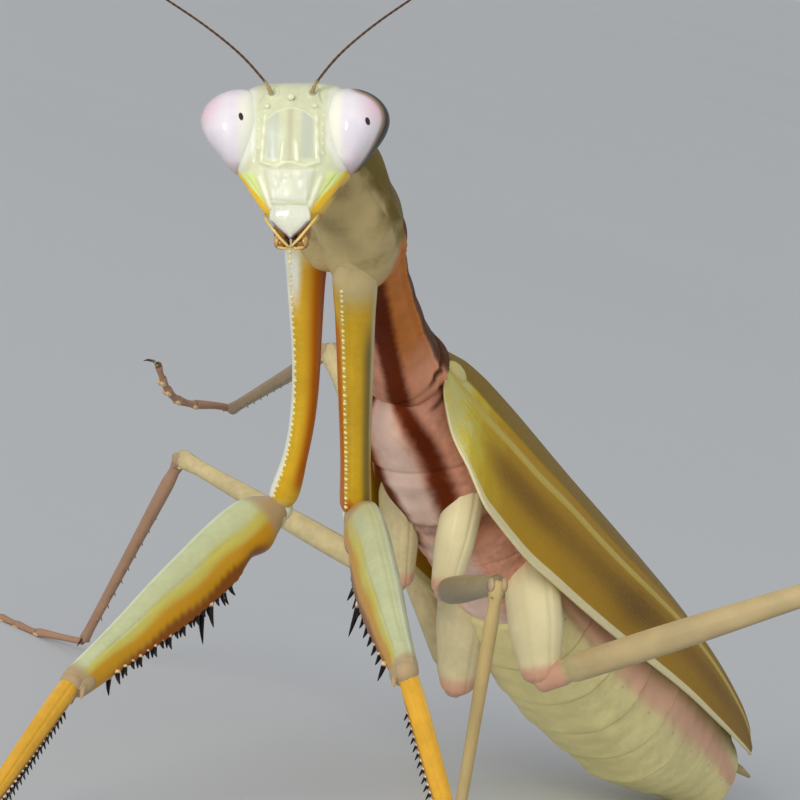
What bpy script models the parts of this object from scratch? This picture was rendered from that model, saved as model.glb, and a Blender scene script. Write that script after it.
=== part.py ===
"""Adult female giant Asian praying mantis, life size, standing with one hind leg lifted.

Metres, +Z up. The mantis faces -Y and its left side is +X. Every foot and the tip of the
abdomen rest on the floor plane, z = 0. Sizes below are millimetres.
"""
import bpy
import bmesh
import math
from mathutils import Vector, Matrix

MM = 0.001
GAP = 0.075           # clearance between neighbouring plates
CUTICLE = 0.5         # thickness of a wing
SIDES = 10            # faces round a limb
POINT = 0.1           # radius of a spine's blunt tip
FEELER = 0.27         # radius of an antenna
BOW = 1.5             # above 1, a bent limb bends most past its middle

# ---------------------------------------------------------------- places of the joints
BODY = Vector((0.0, 0.0, 24.1))                  # where prothorax and pterothorax meet
HEAD = Vector((7.8, -24.6, 35.9))
ABDOMEN_PITCH, ABDOMEN_ROLL = 27.2, 13.3
PRO_YAW, PRO_PITCH, PRO_ROLL = -17.2, 32.5, -16.4
HEAD_TURN = 30.2                                  # the face looks forward and to its left

FORE = {"left": ((6.2, -15.8, 31.2), (2.5, -5.4, 17.1), (18.3, -17.7, 12.5), (22.8, -15.0, 4.0)),
        "right": ((2.4, -15.8, 32.2), (-0.2, -8.6, 16.4), (4.0, -26.3, 6.8), (7.5, -33.9, 1.5))}
FORE_UP = {"left": (0.25, -0.04, 0.97), "right": (-0.60, -0.38, 0.68)}
COXA_BEND = {"left": 0.0, "right": 0.75}
FORE_TOE = {"left": (31.6, -20.6, 0.25), "right": (12.2, -41.6, 0.25)}
MID = {"left": ((3.0, 3.2, 19.3), (3.7, 2.8, 13.3), (16.3, -9.5, 17.0), (18.0, -8.8, 0.9)),
       "right": ((-1.5, 2.7, 18.4), (-0.3, 3.9, 12.6), (-18.2, 3.2, 14.7), (-25.7, 7.6, 1.0))}
MID_TOE = {"left": (24.6, -14.6, 0.25), "right": (-34.6, 7.4, 0.25)}
HIND = {"left": ((4.0, 9.9, 15.0), (6.6, 10.3, 9.3), (23.9, 16.3, 22.1), (31.0, 25.2, 1.0)),
        "right": ((-1.3, 11.0, 14.0), (-1.2, 13.2, 6.3), (-19.8, 15.9, 22.2), (-38.0, 29.9, 14.3))}
HIND_TOE = {"left": (39.4, 29.6, 0.25), "right": (-37.9, 21.4, 16.6)}
CURL = {"left": 0.0, "right": -1.3}                # sag of the hind tarsus; the right one curls in the air
SIDE = {"left": 1.0, "right": -1.0}


def clear():
    for item in list(bpy.data.objects):
        bpy.data.objects.remove(item, do_unlink=True)


def collection(name):
    group = bpy.data.collections.new(name)
    bpy.context.scene.collection.children.link(group)
    return group


def material(name, colour, roughness=0.45):
    mat = bpy.data.materials.new(name)
    mat.use_nodes = True
    shader = mat.node_tree.nodes["Principled BSDF"]
    shader.inputs["Base Color"].default_value = (*colour, 1.0)
    shader.inputs["Roughness"].default_value = roughness
    mat.diffuse_color = (*colour, 1.0)
    return mat


def axes(yaw, pitch, roll):
    """Left, rear and dorsal directions of a body part that slopes down to the rear."""
    y, p, r = math.radians(yaw), math.radians(pitch), math.radians(roll)
    rear = Vector((math.sin(y) * math.cos(p), math.cos(y) * math.cos(p), -math.sin(p)))
    left = Vector((0, 0, 1)).cross(-rear).normalized()
    up = (-rear).cross(left)
    return left * math.cos(r) + up * math.sin(r), rear, up * math.cos(r) - left * math.sin(r)


clear()
PARTS = collection("praying_mantis")
CUTTERS = collection("cutters")
CUTTERS.hide_render = True
PALE = material("cream_cuticle", (0.80, 0.79, 0.60))
GOLD = material("golden_cuticle", (0.80, 0.50, 0.10))
EYE = material("eye", (0.85, 0.76, 0.78), 0.2)
BROWN = material("brown_cuticle", (0.42, 0.24, 0.10))
PINK = material("pink_cuticle", (0.72, 0.46, 0.38))
WING = material("wing", (0.48, 0.36, 0.08))
TAN = material("tan_cuticle", (0.52, 0.42, 0.25))


def add(name, verts, faces, mat):
    """A closed body from millimetre places, flattened where it would sink below the floor."""
    mesh = bpy.data.meshes.new(name)
    volume = sum(verts[f[0]].dot(verts[f[i]].cross(verts[f[i + 1]]))
                 for f in faces for i in range(1, len(f) - 1))
    if volume < 0:
        faces = [f[::-1] for f in faces]
    mesh.from_pydata([(v.x * MM, v.y * MM, max(v.z, 0.0) * MM) for v in verts], [], faces)
    mesh.materials.append(mat)
    mesh.update()
    obj = bpy.data.objects.new(name, mesh)
    PARTS.objects.link(obj)
    return obj


def ring(centre, side, up, w, top, bottom, sides, square=2.0):
    """One superellipse section with separate heights above and below its centre."""
    out = []
    for k in range(sides):
        a = 2 * math.pi * (k if sides == 6 else k + 0.5) / sides    # six sides rest on a flat
        c, s = math.cos(a), math.sin(a)
        x = math.copysign(abs(c) ** (2 / square), c) * w
        y = math.copysign(abs(s) ** (2 / square), s) * (top if s > 0 else bottom)
        out.append(centre + side * x + up * y)
    return out


def skin(rings):
    """Faces joining a row of equal rings, with a flat end at both ends."""
    n = len(rings[0])
    verts = [v for r in rings for v in r]
    faces = [tuple(range(n - 1, -1, -1))]
    for j in range(len(rings) - 1):
        a, b = j * n, (j + 1) * n
        faces += [(a + k, a + (k + 1) % n, b + (k + 1) % n, b + k) for k in range(n)]
    last = (len(rings) - 1) * n
    faces.append(tuple(last + k for k in range(n)))
    return verts, faces


def body(name, frame, origin, rows, mat, sides=14, square=2.2):
    """A trunk piece from rows of (rear, half width, centre height, above, below)."""
    left, rear, dorsal = frame
    rings = [ring(origin + rear * y + dorsal * z, left, dorsal, w, t, b, sides, square)
             for y, w, z, t, b in rows]
    verts, faces = skin(rings)
    return add(name, verts, faces, mat)


def limb_rings(a, b, rows, up, sides=SIDES, bend=0.0):
    """Rings from a to b; rows of (share of the length, half width, height above and below)."""
    a, b, up = Vector(a), Vector(b), Vector(up)
    along = (b - a).normalized()
    side = along.cross(up).normalized()
    top = side.cross(along)
    rings = []
    for t, w, *heights in rows:
        bow = bend * math.sin(math.pi * min(max(t, 0.0), 1.0) ** BOW)
        rings.append(ring(a + (b - a) * t + top * bow, side, top, w, heights[0], heights[-1], sides))
    return rings, along, side, top


def limb(name, a, b, rows, up, mat, sides=SIDES, bend=0.0):
    rings = limb_rings(a, b, rows, up, sides, bend)[0]
    return add(name, *skin(rings), mat)


def round_end(radius, length, at_start):
    """Rows that round off the end of a limb."""
    t = radius / length
    rows = [(-0.80 * t, 0.60 * radius, 0.60 * radius), (-0.3 * t, 0.95 * radius, 0.95 * radius)]
    return rows if at_start else [(1 - s, w, h) for s, w, h in reversed(rows)]


def boolean(target, cutter, operation):
    mod = target.modifiers.new(operation.lower(), "BOOLEAN")
    mod.operation = operation
    mod.solver = "EXACT"
    mod.object = cutter


def hide(cutter):
    for group in list(cutter.users_collection):
        group.objects.unlink(cutter)
    CUTTERS.objects.link(cutter)
    cutter.hide_render = True
    cutter.display_type = "WIRE"


def socket(target, piece):
    """Cut the room of one piece, and a little more, out of its neighbour."""
    mesh = piece.data.copy()
    normals = [v.normal.copy() for v in mesh.vertices]
    for v, n in zip(mesh.vertices, normals):
        v.co += n * GAP * MM
    cutter = bpy.data.objects.new(piece.name + "_room", mesh)
    CUTTERS.objects.link(cutter)
    hide(cutter)
    boolean(target, cutter, "DIFFERENCE")


def spine(name, root, tip, radius):
    """A cone with a slightly blunt point."""
    root, tip = Vector(root), Vector(tip)
    along = tip - root
    mesh = bpy.data.meshes.new(name)
    bm = bmesh.new()
    bmesh.ops.create_cone(bm, cap_ends=True, segments=3, radius1=radius * MM, radius2=POINT * MM,
                          depth=along.length * MM)
    turn_to = Vector((0, 0, 1)).rotation_difference(along).to_matrix().to_4x4()
    bm.transform(Matrix.Translation((root + tip) / 2 * MM) @ turn_to)
    for v in bm.verts:
        v.co.z = max(v.co.z, 0.0)
    bm.to_mesh(mesh)
    bm.free()
    mesh.materials.append(BROWN)
    obj = bpy.data.objects.new(name, mesh)
    PARTS.objects.link(obj)
    return obj


def tube(name, places, radius, mat):
    """A curve with a round bevel and filled caps, made into a closed mesh."""
    curve = bpy.data.curves.new(name + "_line", "CURVE")
    curve.dimensions = "3D"
    curve.bevel_depth = radius * MM
    curve.bevel_resolution = 1
    curve.use_fill_caps = True
    line = curve.splines.new("POLY")
    line.points.add(len(places) - 1)
    for point, place in zip(line.points, places):
        point.co = (*(place * MM), 1.0)
    rod = bpy.data.objects.new(name + "_line", curve)
    CUTTERS.objects.link(rod)
    mesh = bpy.data.meshes.new_from_object(rod.evaluated_get(bpy.context.evaluated_depsgraph_get()))
    bpy.data.objects.remove(rod, do_unlink=True)
    bm = bmesh.new()
    bm.from_mesh(mesh)
    bmesh.ops.remove_doubles(bm, verts=bm.verts, dist=1e-6)
    bm.normal_update()
    bmesh.ops.recalc_face_normals(bm, faces=bm.faces)
    bm.normal_update()
    bm.to_mesh(mesh)
    bm.free()
    mesh.name = name
    mesh.materials.clear()
    mesh.materials.append(mat)
    obj = bpy.data.objects.new(name, mesh)
    PARTS.objects.link(obj)
    return obj


def grow(target, pieces):
    """Join small pieces to the limb they grow from."""
    for piece in pieces:
        boolean(target, piece, "UNION")
        hide(piece)


# ---------------------------------------------------------------- trunk
ABD = axes(0.0, ABDOMEN_PITCH, ABDOMEN_ROLL)
PRO = axes(PRO_YAW, PRO_PITCH, PRO_ROLL)

prothorax = body("prothorax", PRO, BODY, [
    (-25.0, 1.3, -0.9, 0.7, 0.9), (-24.4, 1.9, -0.8, 1.2, 1.3), (-22.0, 2.8, -0.6, 1.7, 1.8),
    (-19.5, 3.2, -0.6, 2.3, 2.1), (-17.5, 3.1, -0.6, 2.3, 2.2), (-15.0, 2.5, -0.5, 1.9, 2.0),
    (-12.0, 2.1, -0.4, 1.7, 1.8), (-8.0, 2.0, -0.4, 1.8, 1.8), (-4.5, 2.1, -0.4, 2.1, 2.0),
    (-2.6, 2.4, -0.3, 2.5, 2.4), (-2.0, 2.2, -0.3, 2.4, 2.3), (-1.8, 1.6, -0.3, 1.8, 1.8)],
    BROWN, sides=12)
pterothorax = body("pterothorax", ABD, BODY, [
    (-2.3, 1.3, -1.2, 1.8, 1.6), (-2.0, 1.9, -1.25, 2.6, 2.2), (-1.15, 2.3, -1.3, 3.0, 2.6),
    (-1.0, 2.3, -1.3, 1.9, 2.6), (1.0, 3.0, -1.8, 3.0, 2.8),
    (4.0, 3.4, -2.2, 3.5, 3.1), (8.0, 3.6, -2.6, 4.0, 3.4), (12.0, 3.6, -2.8, 4.2, 3.6),
    (15.0, 3.6, -3.0, 4.3, 3.8), (15.7, 3.3, -3.0, 4.0, 3.5)], PINK, sides=12)

ABDOMEN = [  # rear end of each ring of the abdomen, half width, centre, above, below
    (16.0, 3.4, -3.4, 4.1, 3.6), (19.6, 3.9, -3.8, 4.6, 4.0), (23.4, 4.2, -3.9, 4.8, 4.2),
    (27.2, 4.3, -3.8, 4.8, 4.3), (31.0, 4.3, -3.2, 4.8, 4.6), (34.8, 3.9, -2.6, 4.4, 5.0),
    (38.6, 3.3, -2.0, 3.8, 4.4), (42.2, 2.6, -1.7, 3.2, 3.4), (45.4, 1.9, -1.7, 2.4, 2.3)]
STEP = 0.22           # how far each ring tucks into the one in front
rows = []
for front, rear in zip(ABDOMEN, ABDOMEN[1:]):
    y0, w0, z0, t0, b0 = front
    inset = STEP if rows else 2 * STEP
    rows.append((y0 + 0.08, w0 - inset, z0, t0 - inset, b0 - inset))
    quarter = [(3 * a + b) / 4 for a, b in zip(front, rear)]
    rows.append((y0 + 0.9, *quarter[1:]))
    rows.append((rear[0] - 0.1, *rear[1:]))
rows += [(46.4, 1.2, -1.9, 1.5, 1.6), (46.9, 0.6, -2.0, 0.8, 0.9)]
abdomen = body("abdomen", ABD, BODY, rows, PALE, sides=14, square=2.3)

# ---------------------------------------------------------------- wings, folded roofwise
WING_ROWS = [  # rear, top corner (x, z), ridge (x, z), front margin (x, z)
    (-0.9, 1.7, 1.9, 2.9, 0.1, 3.5, -1.7), (0.8, 1.9, 2.4, 3.2, 0.0, 4.1, -2.9),
    (3.5, 2.1, 2.6, 3.6, -0.2, 4.8, -4.6), (8.0, 2.1, 2.75, 3.9, -0.2, 5.3, -5.5),
    (13.0, 2.1, 2.8, 4.0, 0.1, 5.4, -5.3), (19.0, 2.1, 3.0, 4.0, 0.4, 5.4, -4.6),
    (25.0, 2.0, 3.2, 4.0, 0.9, 5.4, -3.7), (31.0, 1.9, 3.3, 3.8, 1.4, 5.1, -2.7),
    (37.0, 1.7, 3.15, 3.3, 1.6, 4.5, -1.8), (42.0, 1.4, 2.75, 2.6, 1.6, 3.5, -0.8),
    (45.5, 1.0, 2.3, 1.8, 1.4, 2.3, 0.2), (47.0, 0.6, 1.9, 1.1, 1.3, 1.4, 0.8)]


def wing(name, s):
    """A leathery fore wing: an open sheet of dorsal field, ridge and side field, made solid."""
    left, rear, dorsal = ABD
    verts, n = [], 8                             # eight points across the sheet
    for y, xt, zt, xr, zr, xc, zc in WING_ROWS:
        if s > 0:
            profile = [(-0.5 * xt, zt + 0.14), (0.0, zt + 0.22), (xt, zt)]
        else:
            profile = [(-0.15 * xt, zt - 0.62), (xt * 0.6, zt - 0.54), (xt, zt - 0.34)]
        profile += [((xt + xr) / 2 + 0.25, (zt + zr) / 2 + 0.2), (xr, zr),
                    ((2 * xr + xc) / 3 + 0.12, (2 * zr + zc) / 3),
                    ((xr + 2 * xc) / 3 + 0.12, (zr + 2 * zc) / 3), (xc, zc)]
        verts += [(BODY + rear * y + left * (s * x) + dorsal * z) * MM for x, z in profile]
    faces = []
    for j in range(len(WING_ROWS) - 1):
        for k in range(n - 1):
            a, b = j * n + k, (j + 1) * n + k
            faces.append((a, b, b + 1, a + 1) if s > 0 else (a, a + 1, b + 1, b))
    mesh = bpy.data.meshes.new(name)
    mesh.from_pydata(verts, [], faces)
    mesh.materials.append(WING)
    obj = bpy.data.objects.new(name, mesh)
    PARTS.objects.link(obj)
    sheet = obj.modifiers.new("sheet", "SOLIDIFY")
    sheet.thickness = CUTICLE * MM
    sheet.offset = -1.0
    return obj


wings = {side: wing("wing_" + side, SIDE[side]) for side in ("left", "right")}

# ---------------------------------------------------------------- head
turn = math.radians(HEAD_TURN)
FACE = Vector((math.sin(turn) * 0.99, -math.cos(turn) * 0.99, 0.14)).normalized()
CROWN = Vector((-0.278, -0.084, 0.957))
CROWN = (CROWN - FACE * CROWN.dot(FACE)).normalized()
HLEFT = CROWN.cross(FACE).normalized()


def at_head(x, y, z):
    """x to the mantis's left, y forward out of the face, z to the crown."""
    return HEAD + HLEFT * x + FACE * y + CROWN * z


HEAD_ROWS = [  # height, half width, middle, ahead, behind
    (4.45, 1.3, -0.2, 0.5, 0.5), (4.25, 2.0, -0.2, 0.9, 0.9), (3.7, 2.5, -0.2, 1.3, 1.3),
    (2.6, 2.9, -0.1, 1.55, 1.6), (1.0, 3.2, 0.0, 1.7, 1.9), (-0.2, 3.2, 0.0, 1.7, 1.9),
    (-0.9, 2.9, 0.0, 1.7, 1.8), (-1.8, 2.25, 0.1, 1.6, 1.6), (-2.7, 1.65, 0.1, 1.45, 1.4),
    (-3.0, 1.4, 0.1, 1.3, 1.2)]
rings = [ring(at_head(0, y, z), HLEFT, FACE, w, a, b, 16, 2.5) for z, w, y, a, b in HEAD_ROWS]
head = add("head", *skin(rings), PALE)
LABRUM_ROWS = [(-3.1, 1.1, 0.15, 1.25, 0.9), (-3.5, 0.95, 0.1, 1.2, 0.9), (-4.1, 0.7, 0.1, 1.0, 0.8),
               (-4.55, 0.4, 0.1, 0.6, 0.6)]
rings = [ring(at_head(0, y, z), HLEFT, FACE, w, a, b, 8, 2.4) for z, w, y, a, b in LABRUM_ROWS]
mouthparts = add("mouthparts", *skin(rings), GOLD)

EYE_WIDE, EYE_DEEP, EYE_TALL = 1.68, 1.85, 2.2
EYE_OUT, EYE_AHEAD, EYE_HIGH = 3.12, 0.15, 1.75


def eye(name, s):
    """A globe drawn out to a point at its lower end."""
    mesh = bpy.data.meshes.new(name)
    bm = bmesh.new()
    bmesh.ops.create_uvsphere(bm, u_segments=14, v_segments=9, radius=1.0)
    for v in bm.verts:
        x, y, h = v.co
        full = 1.0 + 0.22 * h
        place = at_head(s * (EYE_OUT - 0.12 * h + EYE_WIDE * full * x), EYE_AHEAD + EYE_DEEP * full * y,
                        EYE_HIGH + EYE_TALL * h)
        v.co = place * MM
    bm.normal_update()
    bmesh.ops.recalc_face_normals(bm, faces=bm.faces)
    bm.normal_update()
    bm.to_mesh(mesh)
    bm.free()
    mesh.materials.append(EYE)
    obj = bpy.data.objects.new(name, mesh)
    PARTS.objects.link(obj)
    return obj


eyes = {}
for side, s in SIDE.items():
    eyes[side] = eye("eye_" + side, s)
    socket(head, eyes[side])

ANTENNA = ((1.05, 1.2, 3.5), (1.45, 1.5, 4.3), (2.5, 1.8, 5.4), (4.2, 2.0, 6.8), (6.4, 2.1, 8.3),
           (10.6, 2.2, 11.0), (15.2, 2.0, 13.6), (20.0, 1.4, 15.8))
antennae = {}
for side, s in SIDE.items():
    run = [at_head(s * x, y, z) for x, y, z in ANTENNA]
    antennae[side] = tube("antenna_" + side, run, FEELER, BROWN)
    socket(head, antennae[side])

neck = limb("neck", at_head(0.0, -1.75, 0.1), BODY - PRO[1] * 24.6 - PRO[2] * 0.9,
            [(0.0, 0.9, 0.9), (0.25, 1.15, 1.1), (0.6, 1.2, 1.1), (1.0, 1.0, 0.95)], CROWN, PALE)
socket(head, neck)
socket(prothorax, neck)
socket(pterothorax, prothorax)


# ---------------------------------------------------------------- legs
TARSAL_ENDS = (0.44, 0.64, 0.79, 0.89, 1.0)      # where each of the five joints of a foot ends
CLAW_SPREAD, CLAW_REACH, CLAW_RADIUS = 0.55, 0.9, 0.26


def tarsus(name, heel, toe, mat, curl=0.0):
    """Five joints, each swelling to a small pad, and a pair of claws."""
    heel, toe = Vector(heel), Vector(toe)
    rows = [(0.0, 0.30, 0.30)]
    start = 0.0
    for end in TARSAL_ENDS:
        rows += [(start + 0.25 * (end - start), 0.27, 0.27), (end - 0.02, 0.40, 0.36)]
        start = end
    rows[-2:] = [(0.90, 0.35, 0.35), (1.0, 0.35, 0.35)]           # a flat sole under the last joint
    rings, along, side, top = limb_rings(heel, toe, rows, (0, 0, 1), 6, curl)
    if curl == 0.0:                                               # the first joint comes down to the floor
        for (t, w, h), loop in zip(rows, rings):
            level = toe.z + (heel.z - toe.z) * max(0.0, 1 - t / TARSAL_ENDS[0])
            drop = (heel + (toe - heel) * t).z - level
            for v in loop:
                v.z -= drop
    foot = add(name, *skin(rings), mat)
    claws = []
    for k in (-1, 1):
        root = toe - along * 0.25 + side * k * 0.12
        tip = toe + along * CLAW_REACH + side * k * CLAW_SPREAD - top * 0.12
        claws.append(spine(name + "_claw" + str(k + 1), root, tip, CLAW_RADIUS))
    grow(foot, claws)
    return foot


def leg(which, side, joints, toe, sizes, mats):
    """Coxa, femur with trochanter, tibia and tarsus of a walking leg."""
    hip, elbow, knee, ankle = (Vector(j) for j in joints)
    cw, fw, tw = sizes                            # half widths of coxa, femur and tibia
    up = (0, -0.3, 1)
    lc, lf, lt = (elbow - hip).length, (knee - elbow).length, (ankle - knee).length
    name = which + "_{}_" + side
    rows = [(0.0, cw * 0.8, cw * 0.8), (0.15, cw, cw), (0.45, cw, cw * 0.95),
            (0.8, cw * 0.72, cw * 0.75), (1.0, cw * 0.62, cw * 0.65)]
    coxa = limb(name.format("coxa"), hip, elbow, rows + round_end(cw * 0.62, lc, False), (0, 1, 0), PALE)
    r0 = cw * 0.46                                # the trochanter, joined to the femur
    rows = [(0.03, r0, r0), (0.1, fw, fw * 1.1), (0.3, fw * 1.05, fw * 1.2), (0.7, fw * 0.85, fw),
            (0.93, fw * 0.8, fw * 0.85), (0.99, fw, fw * 1.05)]
    rows = round_end(r0, lf, True) + rows + round_end(fw * 0.9, lf, False)
    femur = limb(name.format("femur"), elbow, knee, rows, up, mats[0])
    rt = min(tw, fw * 0.68)
    rows = [(0.02, rt, rt), (0.12, tw, tw * 1.05), (0.5, tw * 0.95, tw), (0.94, tw * 0.8, tw * 0.8),
            (1.0, tw * 0.85, tw * 0.85)]
    tibia = limb(name.format("tibia"), knee, ankle, round_end(rt, lt, True) + rows, up, mats[1], 8)
    heel = ankle + (ankle - knee).normalized() * HEEL_GAP
    tarsus(name.format("tarsus"), heel, toe, mats[2], CURL[side] if which == "hind" else 0.0)
    socket(coxa, femur)
    socket(femur, tibia)
    return coxa


SPINES = 11                                       # stations of spines under the fore femur
SPINE_SHORT, SPINE_LONG, SPINE_LONGEST = 0.6, 1.0, 1.9
COMB = 7                                          # teeth under the fore tibia
HEEL_GAP = 0.45                                   # from the ankle to the first joint of the foot


COXA_ROWS = {"left": [(0.0, 0.95, 1.0), (0.05, 1.1, 1.2), (0.2, 0.98, 1.08), (0.5, 0.82, 0.94),
                      (0.8, 0.78, 0.84), (0.95, 0.86, 0.88)],
             "right": [(0.0, 1.0, 1.0), (0.05, 1.2, 1.2), (0.2, 1.08, 1.02), (0.5, 0.94, 0.76),
                       (0.8, 0.86, 0.68), (0.95, 0.88, 0.82)]}


def fore_leg(side, joints, toe, up):
    """The raptorial leg: long coxa, deep spined femur, comb spined tibia ending in a spur."""
    hip, elbow, knee, ankle = (Vector(j) for j in joints)
    lc, lf, lt = (elbow - hip).length, (knee - elbow).length, (ankle - knee).length
    coxa = limb("fore_coxa_" + side, hip, elbow, COXA_ROWS[side] + round_end(0.8, lc, False),
                (0.74, 0.62, 0.27), GOLD, bend=COXA_BEND[side])
    rows = [(0.02, 0.66, 0.75, 0.66), (0.07, 0.78, 1.35, 0.95), (0.14, 0.88, 1.75, 1.35),
            (0.30, 0.95, 1.76, 1.50), (0.42, 0.95, 1.60, 1.62), (0.56, 0.90, 1.40, 1.62),
            (0.72, 0.78, 1.10, 1.40), (0.84, 0.70, 0.90, 1.20), (0.99, 0.68, 0.76, 1.02)]
    rows = round_end(0.62, lf, True) + rows + round_end(0.7, lf, False)
    femur = limb("fore_femur_" + side, elbow, knee, rows, up, PALE, 12)
    along = (knee - elbow).normalized()
    across = along.cross(Vector(up)).normalized()
    top = across.cross(along)
    spines = []
    for k in range(SPINES):
        t = 0.33 + 0.50 * k / (SPINES - 1)
        deep = 1.62 - 0.42 * max(0.0, t - 0.56) / 0.28
        reach = SPINE_LONGEST if k == 2 else SPINE_SHORT if k % 2 else SPINE_LONG
        for row in ((-1, 1) if k % 2 == 0 else (1,)):
            root = elbow + along * (lf * t) - top * (deep - 0.35) + across * row * 0.35
            tip = root - top * (reach + 0.35) + across * row * 0.25 + along * 0.25
            spines.append(spine("spine", root, tip, 0.27))
    grow(femur, spines)
    shin = (ankle - knee).normalized()
    rows = [(0.03, 0.48, 0.5), (0.15, 0.50, 0.62), (0.5, 0.46, 0.62), (0.85, 0.42, 0.55), (1.0, 0.36, 0.42)]
    tibia = limb("fore_tibia_" + side, knee, ankle, round_end(0.5, lt, True) + rows, top, GOLD, 8)
    under = -shin.cross(top).normalized().cross(shin)
    comb = []
    for k in range(COMB):
        t = 0.22 + 0.68 * k / (COMB - 1)
        root = knee + shin * (lt * t) + under * 0.25
        comb.append(spine("tooth", root, root + under * (0.85 + 0.25 * t) + shin * 0.55, 0.26))
    comb.append(spine("spur", ankle - shin * 0.6, ankle + under * 1.3 + shin * 1.2, 0.34))
    grow(tibia, comb)
    heel = ankle + shin * (HEEL_GAP - 0.03) - under * 0.35
    tarsus("fore_tarsus_" + side, heel, toe, GOLD)
    socket(coxa, femur)
    socket(femur, tibia)
    return coxa


MID_SIZES, HIND_SIZES = (1.15, 0.66, 0.38), (1.6, 0.75, 0.42)
for side in SIDE:
    fore = fore_leg(side, FORE[side], FORE_TOE[side], FORE_UP[side])
    mid = leg("mid", side, MID[side], MID_TOE[side], MID_SIZES, (TAN, BROWN, BROWN))
    hind = leg("hind", side, HIND[side], HIND_TOE[side], HIND_SIZES, (TAN, TAN, TAN))
    socket(prothorax, fore)
    socket(pterothorax, mid)
    socket(pterothorax, hind)
    socket(abdomen, hind)

# ---------------------------------------------------------------- stand it on the origin
graph = bpy.context.evaluated_depsgraph_get()
places = [v.co.copy() for obj in PARTS.objects for v in obj.evaluated_get(graph).data.vertices]
low = Vector(min(p[i] for p in places) for i in range(3))
high = Vector(max(p[i] for p in places) for i in range(3))
shift = Vector((-(low.x + high.x) / 2, -(low.y + high.y) / 2, -low.z))
for mesh in {obj.data for group in (PARTS, CUTTERS) for obj in group.objects}:
    mesh.transform(Matrix.Translation(shift))
print("size mm", [round((high[i] - low[i]) / MM, 2) for i in range(3)],
      "shift mm", [round(c / MM, 3) for c in shift])
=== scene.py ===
# %% [markdown]
# A praying mantis at life size, standing as a museum would show it. The packed solids give the place
# of every part, and this script dresses each of them with a smooth, detailed piece in the same place.
# Such an animal could be sculpted by hand. Numbers are used here instead: each plate is a short table
# that can be read, checked and changed.

# %% Load the frame
import math
import bpy
import numpy as np
from mathutils import Matrix, Vector


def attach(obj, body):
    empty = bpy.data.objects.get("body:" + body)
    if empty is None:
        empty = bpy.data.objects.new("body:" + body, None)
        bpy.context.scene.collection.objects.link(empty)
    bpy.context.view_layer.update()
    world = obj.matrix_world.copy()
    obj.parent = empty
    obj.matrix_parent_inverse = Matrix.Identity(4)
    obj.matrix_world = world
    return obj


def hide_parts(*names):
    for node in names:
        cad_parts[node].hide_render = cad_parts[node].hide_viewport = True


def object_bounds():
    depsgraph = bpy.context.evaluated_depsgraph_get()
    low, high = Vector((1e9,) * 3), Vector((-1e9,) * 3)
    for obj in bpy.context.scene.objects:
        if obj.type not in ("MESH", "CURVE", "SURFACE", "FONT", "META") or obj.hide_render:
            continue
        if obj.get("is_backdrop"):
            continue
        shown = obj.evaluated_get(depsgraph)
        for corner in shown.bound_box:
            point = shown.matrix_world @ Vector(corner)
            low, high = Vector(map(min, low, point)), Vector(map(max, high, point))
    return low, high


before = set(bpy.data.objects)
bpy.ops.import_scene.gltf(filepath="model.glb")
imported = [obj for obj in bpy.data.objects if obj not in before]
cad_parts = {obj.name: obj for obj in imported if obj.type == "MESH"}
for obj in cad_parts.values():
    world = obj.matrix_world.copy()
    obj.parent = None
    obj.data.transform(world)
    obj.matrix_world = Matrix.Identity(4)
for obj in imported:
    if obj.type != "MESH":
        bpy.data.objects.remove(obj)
CAD_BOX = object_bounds()
print("solids:", len(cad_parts), "box:", CAD_BOX)

# %% [markdown]
# An insect is a chain of hard plates and tubes hung from joints. The joints could be placed by eye,
# but then every plate would need its own rotation. Here the places come first, in millimetres, and
# each plate is later drawn from one joint to the next. ORIGIN moves them to where the part stands.


# %% Places of the joints
def vec(*numbers):
    """A few numbers as an array, most often a place or a direction."""
    return np.array(numbers, float)


MM = 0.001
ORIGIN = vec(-0.913, -0.218, 0.0)
SIDE = {"left": 1.0, "right": -1.0}
BODY = vec(0, 0, 24.1)
HEAD = vec(7.8, -24.6, 35.9)
# Each leg has a hip, an elbow, a knee and an ankle.
FORE = {"left": np.array([(6.2, -15.8, 31.2), (2.5, -5.4, 17.1), (18.3, -17.7, 12.5), (22.8, -15.0, 4.0)]),
        "right": np.array([(2.4, -15.8, 32.2), (-0.2, -8.6, 16.4), (4.0, -26.3, 6.8), (7.5, -33.9, 1.5)])}
MID = {"left": np.array([(3.0, 3.2, 19.3), (3.7, 2.8, 13.3), (16.3, -9.5, 17.0), (18.0, -8.8, 0.9)]),
       "right": np.array([(-1.5, 2.7, 18.4), (-0.3, 3.9, 12.6), (-18.2, 3.2, 14.7), (-25.7, 7.6, 1.0)])}
HIND = {"left": np.array([(4.0, 9.9, 15.0), (6.6, 10.3, 9.3), (23.9, 16.3, 22.1), (31.0, 25.2, 1.0)]),
        "right": np.array([(-1.3, 11.0, 14.0), (-1.2, 13.2, 6.3), (-19.8, 15.9, 22.2), (-38.0, 29.9, 14.3)])}
for kind, legs in {"fore": FORE, "mid": MID, "hind": HIND}.items():
    print(kind, "segments in mm:", np.linalg.norm(np.diff(legs["left"], axis=0), axis=1).round(1))

# %% [markdown]
# The trunk is bent: the abdomen slopes down to the rear, the prothorax rises more steeply and turns
# aside, and the head turns to its left. Each gets three arrows, for the trunk to its left, to its
# rear and out of its back, and for the head to its left, out of its face and out of its crown. Rings
# can then be written in the animal's own terms and not in the room's.


# %% Directions of trunk and head
def unit(v):
    """The same direction with length 1."""
    return v / np.linalg.norm(v)


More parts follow.
